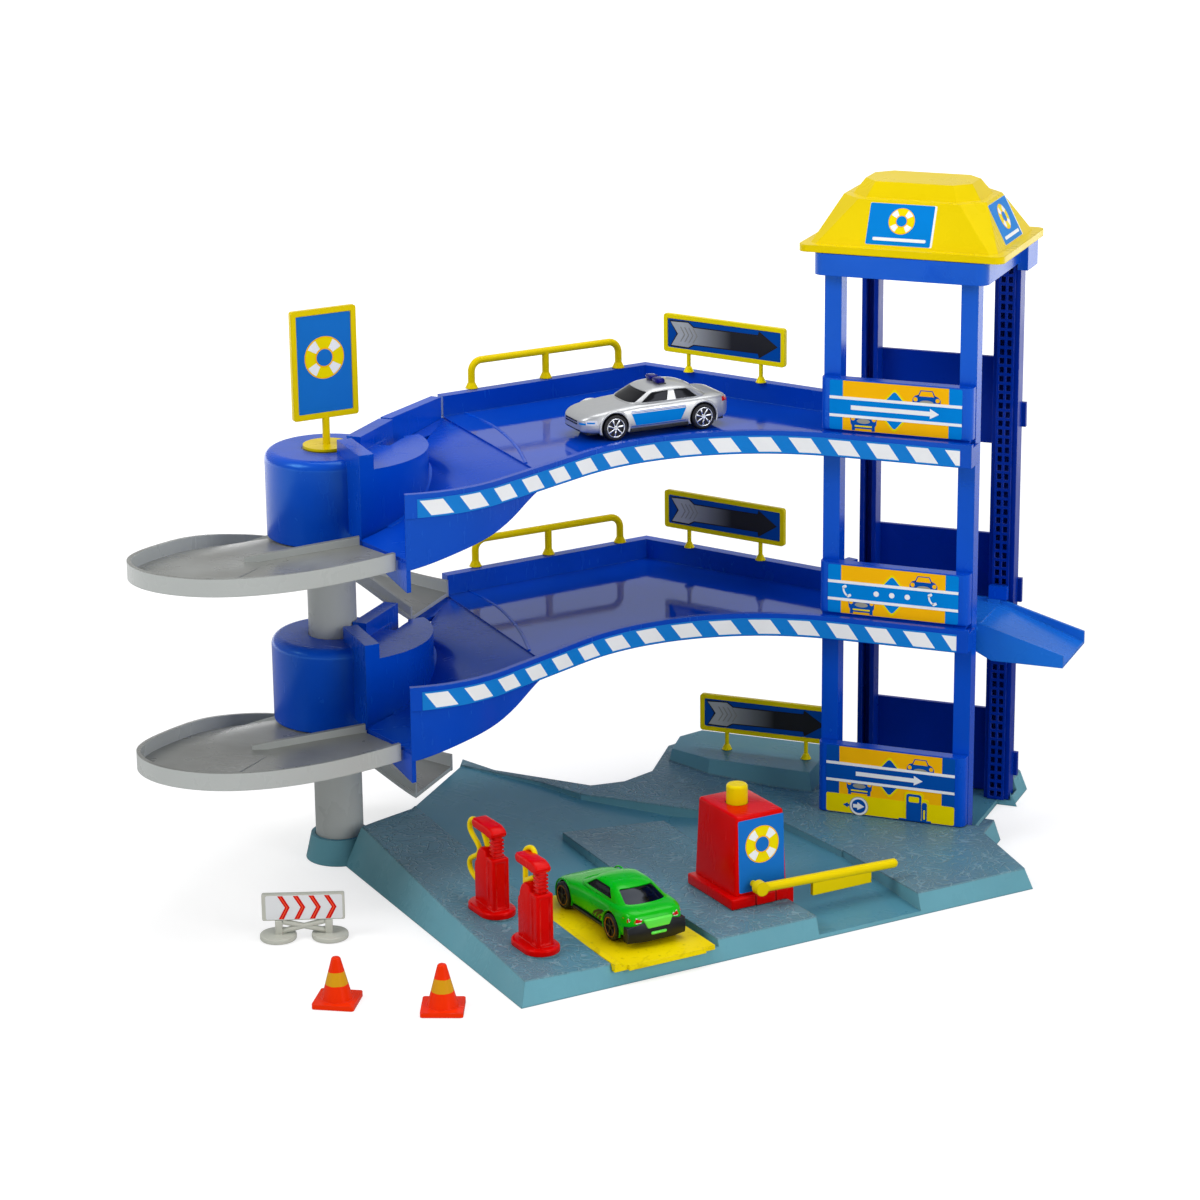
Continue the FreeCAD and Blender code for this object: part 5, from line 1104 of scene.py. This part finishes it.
# Rear bumper of the green car: a faceted black moulding with a bright inlay and a small plate
bumper = block_piece((-34.9, -13.4, 2.4), (-29.4, 13.4, 10.6))
edit(bumper, whole=True)
bpy.ops.mesh.subdivide(number_cuts=3)
close_edit()
for vertex in bumper.data.vertices:
    x, y, z = vertex.co
    out = abs(y) / 13.4
    rise = (z - 2.4) / 8.2
    if x < -32:
        x += 1.5 * out ** 4 + 1.2 * abs(rise - 0.5)
    vertex.co = (x, y, z - (3.2 * max(0.0, out - 0.45) if rise > 0.7 else 0.0))
modify(bumper, "BEVEL", width=0.35, segments=2, limit_method="ANGLE")
inlay = block_piece((-35.0, -5.0, 8.0), (-31.0, 5.0, 11.8), 0.5)
for vertex in inlay.data.vertices:
    vertex.co.y *= 1.0 + (vertex.co.z - 8.0) * 0.09
pill = block_piece((-35.4, -3.6, 5.2), (-33.0, 3.6, 6.5), 0.6)
finish_piece(dressed(bumper, black), "green_rear_bumper", "green_car", "black_plastic", green_place, 30)
finish_piece(joined([dressed(inlay, green_light), dressed(pill, green_light)]), "green_bumper_inlays",
             "green_car", "green_paint", green_place, 40)


# Fuel pumps, made about their foot with the head towards +Y
def slot_foot(length, width, height, bevel):
    """An oval foot with a rounded upper edge."""
    deselect()
    bpy.ops.mesh.primitive_cylinder_add(vertices=56, radius=width / 2, depth=height,
                                        location=(0, 0, height / 2))
    piece = bpy.context.object
    bpy.ops.object.transform_apply(location=True, rotation=False, scale=False)
    for vertex in piece.data.vertices:
        vertex.co.y += math.copysign((length - width) / 2, vertex.co.y)
    edit(piece)
    pick(piece, lambda middle, normal: normal.z > 0.9)
    bpy.ops.mesh.bevel(offset=bevel, segments=4, affect="EDGES")
    close_edit()
    return piece


def profile_piece(points, half_width, bevel, material):
    """A block with an outline in Y and Z, drawn out along X to both sides, its edges softened."""
    piece = cutout(points, -half_width, half_width, material)
    piece.data.transform(Matrix(((0, 0, 1, 0), (1, 0, 0, 0), (0, 1, 0, 0), (0, 0, 0, 1))))
    modify(piece, "BEVEL", width=bevel, segments=3, limit_method="ANGLE", angle_limit=math.radians(50))
    return piece


def hose_piece(points, radius, material):
    """A round moulded hose on a smooth line near some places."""
    data = bpy.data.curves.new("hose", "CURVE")
    data.dimensions = "3D"
    spline = data.splines.new("NURBS")
    spline.points.add(len(points) - 1)
    for spot, place in zip(spline.points, points):
        spot.co = (*place, 1.0)
    spline.order_u = 4
    spline.use_endpoint_u = True
    spline.resolution_u = 10
    data.bevel_depth = radius
    data.bevel_resolution = 4
    data.use_fill_caps = True
    curve = in_scene(bpy.data.objects.new("hose", data))
    activate(curve)
    bpy.ops.object.convert(target="MESH")
    return dressed(bpy.context.object, material)


def pump_piece():
    foot = slot_foot(24.5, 15.4, 2.6, 1.0)
    hump = profile_piece([(-3.4, 2.0), (8.4, 2.0), (8.4, 17.6), (8.0, 19.6), (6.8, 21.0), (6.3, 23.2),
                          (5.0, 25.6), (3.0, 27.2), (0.8, 27.4), (-1.2, 26.4), (-2.6, 24.6), (-3.4, 23.0)],
                         3.6, 0.9, red)
    column = block_piece((-3.8, -8.6, 2.0), (3.8, -2.6, 25.0), 0.6)
    edit(column)
    pick(column, lambda middle, normal: max(abs(normal.x), -normal.y) > 0.99)
    bpy.ops.mesh.inset(thickness=0.9, depth=0.0)
    bpy.ops.mesh.inset(thickness=0.35, depth=-0.4)
    close_edit()
    neck = block_piece((-1.9, -7.2, 24.6), (1.9, -3.4, 34.6), 0.9)
    pieces = [foot, hump, column, neck]
    for step in range(5):
        z = 25.6 + step * 1.6
        pieces.append(block_piece((-2.4, -7.7, z), (2.4, -2.9, z + 1.0), 0.45, 2))
    pieces.append(profile_piece([(-8.0, 34.6), (-6.8, 33.5), (-3.0, 33.2), (-1.0, 33.6), (9.0, 33.8),
                                 (10.2, 34.8), (10.4, 36.6), (9.4, 37.8), (-3.6, 38.0), (-6.4, 37.2),
                                 (-8.0, 35.8)], 3.5, 0.9, red))
    return joined([dressed(piece, red) for piece in pieces])


hose_routes = [
    [(-1.0, 9.4, 35.8), (-1.4, 13.4, 36.8), (-1.6, 16.8, 32.6), (-1.4, 13.6, 28.6), (-1.0, 6.8, 25.4),
     (-1.0, 9.0, 20.8), (-1.4, 17.2, 18.0), (-1.4, 16.8, 12.0), (-1.0, 10.4, 9.6), (0, 7.6, 8.6)],
    [(3.0, 4.6, 36.0), (3.6, 6.0, 38.8), (3.2, 9.4, 39.2), (1.6, 11.4, 37.0), (0.6, 8.6, 33.4),
     (0, 7.6, 29.0), (0, 7.6, 24.0), (0, 7.4, 19.6)],
]
nozzle_places = [((0, 6.4, 34.4), (0, 2.2, 26.4)), ((0, -0.6, 30.4), (0, 6.6, 25.6))]
pump = pump_piece()
for index, (u, v, z) in enumerate(((24.0, 70.0, 12.4), (22.7, 30.0, 10.9))):
    place = standing(on_base(u, v, z), base_turn)
    number = str(index + 1)
    finish_piece(copied(pump), "pump_" + number, "station", "red_plastic", place, 32,
                 replaces=["fuel_pump_" + number])
    hose = hose_piece(hose_routes[index], 1.1, yellow)
    start, end = nozzle_places[index]
    nozzle = rod_piece(1.15, start, end, 12)
    edit(nozzle)
    pick(nozzle, lambda middle, normal: normal.z > 0.8)
    bpy.ops.transform.resize(value=(1.35, 1.35, 1.0))
    close_edit()
    finish_piece(joined([hose, dressed(nozzle, yellow)]), "pump_hose_" + number, "station", "yellow_plastic",
                 place, 45, replaces=["fuel_hose_" + number])
bpy.data.objects.remove(pump)


# Feet of the road sign: two round discs, two posts and a cross between them
def sign_feet():
    pieces = []
    for side in (-1, 1):
        disc = rod_piece(7.6, (side * 10.65, 0, 0), (side * 10.65, 0, 2.3), 48)
        modify(disc, "BEVEL", width=0.6, segments=3, limit_method="ANGLE")
        post = block_piece((side * 10.3 - 1.5, -1.6, 2.0), (side * 10.3 + 1.5, 1.6, 8.2), 0.3)
        cut(rod_piece(1.15, (side * 10.0, 0, 5.8), (side * 10.0, 0, 9.0), 24), post)
        brace = rod_piece(1.15, (side * 8.9, 0, 3.3), (-side * 8.7, 0, 7.4), 16)
        pieces += [disc, post, brace]
    return joined([dressed(piece, white) for piece in pieces])


finish_piece(sign_feet(), "road_sign_stand", "road_sign", "white_plastic",
             standing(corner(*sign_spot), sign_turn), 30, replaces=["road_sign_feet"])

# Booth: a hollow housing with soft edges on a grooved plinth, in the base plate's own frame
base_frame = standing(on_base(0, 0, 0), base_turn)
button_u = 126.4
button_v = 45.0
pivot_u = 123.4                     # the barrier's pivot
pivot_z = 18.2


def booth_housing():
    z0 = 14.0
    height = 34.0
    piece = block_piece((114.8, 27.3, z0), (140.0, 60.0, z0 + height))
    middle = Vector((127.4, 43.65))
    for vertex in piece.data.vertices:
        if vertex.co.z > z0 + 1:
            offset = Vector((vertex.co.x, vertex.co.y)) - middle
            vertex.co.x -= math.copysign(1.2, offset.x)
            vertex.co.y -= math.copysign(1.2, offset.y)
    modify(piece, "BEVEL", width=1.1, segments=4, limit_method="NONE")
    edit(piece, whole=True)
    bpy.ops.mesh.bisect(plane_co=(0, 0, z0 + 1.15), plane_no=(0, 0, 1), clear_inner=True, use_fill=False)
    close_edit()
    for vertex in piece.data.vertices:
        if vertex.co.z < z0 + 1.2:
            vertex.co.z = z0
    modify(piece, "SOLIDIFY", thickness=1.8, offset=-1.0)
    rim = rod_piece(3.1, (pivot_u, 28.8, pivot_z), (pivot_u, 26.5, pivot_z), 40)
    modify(rim, "BEVEL", width=0.5, segments=3, limit_method="ANGLE")
    piece = joined([piece, rim])
    cut(rod_piece(4.85, (button_u, button_v, 40.0), (button_u, button_v, 60.0), 40), piece)
    cut(rod_piece(1.6, (pivot_u, 20.0, pivot_z), (pivot_u, 36.0, pivot_z), 40), piece)
    return dressed(piece, red)


def booth_foot():
    low = block_piece((111.8, 25.0, 9.1), (139.0, 61.0, 13.9), 0.7)
    side = block_piece((138.2, 25.0, 6.3), (142.0, 61.0, 13.9), 0.7)
    tab = block_piece((123.9, 24.7, 9.3), (132.7, 28.0, 13.7), 0.3)
    pieces = [low, side]
    for u in (pivot_u, 133.2):
        cut(block_piece((u - 0.3, 22.0, 5.0), (u + 0.3, 26.0, 15.0)), *pieces)
    return joined([dressed(piece, red) for piece in pieces + [tab]])


def spring_piece(low, high):
    """The coil below the button, as round wire."""
    wire = 0.45
    turns = 5
    spots = []
    for step in range(turns * 12 + 1):
        angle = math.radians(step * 30)
        z = low + wire + (high - low - 2 * wire) * step / (turns * 12)
        spots.append((button_u + 3.35 * math.cos(angle), button_v + 3.35 * math.sin(angle), z))
    return hose_piece(spots, wire, steel)


spring_low = 34.7
spring_high = 43.75
spring = finish_piece(spring_piece(spring_low, spring_high), "booth_spring", "station", "spring_steel",
                      base_frame, 60, replaces=["button_spring"])
tuple(on_base(button_u, button_v, spring_low))
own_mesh(spring)
finish_piece(booth_housing(), "booth_housing", "station", "red_plastic", base_frame, 30,
             replaces=["booth_shell"])
finish_piece(booth_foot(), "booth_foot", "station", "red_plastic", base_frame, 30, replaces=["booth_plinth"])


# Light bar of the silver car: two domes on a dark foot
foot = block_piece((-6.8, -6.2, 19.5), (-3.2, 6.2, 20.5), 0.3)
domes = [dressed(foot, black)]
for low, high in ((-6.0, -0.5), (0.5, 6.0)):
    dome = block_piece((-6.6, low, 20.2), (-2.4, high, 22.5), 1.0, 4)
    domes.append(dressed(dome, blue_lens))
finish_piece(joined(domes), "silver_light_domes", "silver_car", "lamp_plastic", silver_place, 40,
             replaces=["silver_light_bar"])


# Joint between chute and core block, and the curved crease where the chute begins
def around_core(radius, angle, z):
    turn = math.radians(angle)
    x, y = core_axis
    return corner(x + radius * math.cos(turn), y + radius * math.sin(turn), z) / MM


chute_falls = ((-30.0, 0.87), (-10.0, 0.70), (5.0, 0.57), (20.0, 0.43), (35.0, 0.31), (52.0, 0.2))
crease = [(-164.4, -19.6), (-154.9, -26.0), (-146.6, -32.2), (-139.1, -38.8), (-132.6, -45.8),
          (-126.3, -53.4), (-120.6, -60.6), (-115.3, -68.0), (-110.2, -75.6), (-105.9, -82.8),
          (-99.4, -94.0)]
for name, level in (("lower", lower_deck), ("upper", upper_deck)):
    seal = grid_piece(30)
    for vertex in seal.data.vertices:
        angle = 11.0 + vertex.co.x * 41.0
        inner = vertex.co.y < 0
        fall = between(chute_falls, angle) * 26.5
        vertex.co = around_core(42.4 if inner else 45.4, angle, level - fall - 0.5)
    modify(seal, "SOLIDIFY", thickness=1.4, offset=0.0)
    finish_piece(dressed(seal, blue), "chute_seal_" + name, "station", "blue_plastic", to_metres, 40)
    ridge = hose_piece([corner(x, y, level - 0.35) / MM for x, y in crease], 0.85, blue)
    finish_piece(ridge, "chute_ridge_" + name, "station", "blue_plastic", to_metres, 60)


# Camera, light and surroundings
def make_camera():
    data = bpy.data.cameras.new("camera")
    data.lens = 107.25
    data.sensor_width = 36.0
    data.clip_end = 100.0
    camera = in_scene(bpy.data.objects.new("camera", data))
    right = Vector((0.92932, 0.36912, -0.01074))
    up = Vector((-0.09943, 0.27814, 0.95538))
    forward = Vector((-0.35563, 0.88679, -0.29518))
    camera.matrix_world = Matrix.Translation((0.431, -1.4498, 0.5665)) @ Matrix(
        (right, up, -forward)).transposed().to_4x4()
    bpy.context.scene.camera = camera


def softbox(name, place, target, size, power):
    data = bpy.data.lights.new(name, "AREA")
    data.shape = "RECTANGLE"
    data.size, data.size_y = size
    data.energy = power
    lamp = in_scene(bpy.data.objects.new(name, data))
    lamp.location = place
    lamp.rotation_euler = (Vector(target) - Vector(place)).to_track_quat("-Z", "Y").to_euler()


def ray_kinds(tree):
    """Whether the camera sees a surface by this ray, and whether the ray comes off a glossy one."""
    path = add(tree, "LightPath").outputs
    seen = calc(tree, "MAXIMUM", path["Is Camera Ray"], path["Is Transmission Ray"])
    return seen, path["Is Glossy Ray"]


def make_world():
    world = bpy.data.worlds.new("studio")
    bpy.context.scene.world = world
    world.use_nodes = True
    tree = world.node_tree
    seen, glossy = ray_kinds(tree)
    level = calc(tree, "MAXIMUM", calc(tree, "MAXIMUM", seen, calc(tree, "MULTIPLY", glossy, 0.6)), 0.42)
    feed(tree, tree.nodes["Background"], {"Color": (1, 1, 1, 1), "Strength": level})


def make_floor():
    """A white floor that shows the object's soft shadow."""
    deselect()
    bpy.ops.mesh.primitive_plane_add(size=24.0, location=(0, 0, -0.0002))
    floor = bpy.context.object
    floor.name = "studio_floor"
    material, tree, surface, place = start_material("studio_white")
    feed(tree, surface, {"Base Color": (0.8, 0.8, 0.8, 1), "Roughness": 0.9, "Specular IOR Level": 0.0})
    away = add(tree, "VectorMath", {0: place}, operation="LENGTH").outputs["Value"]
    haze = spread(tree, away, 0.4, 1.2, 0.66, 1.0)
    glow = add(tree, "Emission", {"Color": (1, 1, 1, 1), "Strength": haze}).outputs[0]
    glare = spread(tree, away, 0.3, 1.2, 0.15, 2.2)
    sheen = add(tree, "Emission", {"Color": (1, 1, 1, 1), "Strength": glare}).outputs[0]
    dim = add(tree, "BsdfDiffuse", {"Color": (0.42, 0.42, 0.42, 1)}).outputs[0]
    both = add(tree, "AddShader", {0: glow, 1: dim}).outputs[0]
    seen, glossy = ray_kinds(tree)
    choice = add(tree, "MixShader", {0: seen, 1: surface.outputs[0], 2: both}).outputs[0]
    choice = add(tree, "MixShader", {0: glossy, 1: choice, 2: sheen}).outputs[0]
    tree.links.new(choice, tree.nodes["Material Output"].inputs["Surface"])
    floor.data.materials.append(material)


make_camera()
make_world()
make_floor()
softbox("key_left", (-1.6, -1.7, 2.0), (0, 0, 0.12), (1.3, 1.3), 34)
softbox("side_right", (1.9, -0.9, 0.9), (0, 0, 0.15), (0.9, 1.4), 20)
softbox("top", (0.1, 0.4, 2.2), (0, 0, 0.1), (1.8, 1.4), 22)
bpy.context.scene.view_settings.view_transform = "Standard"
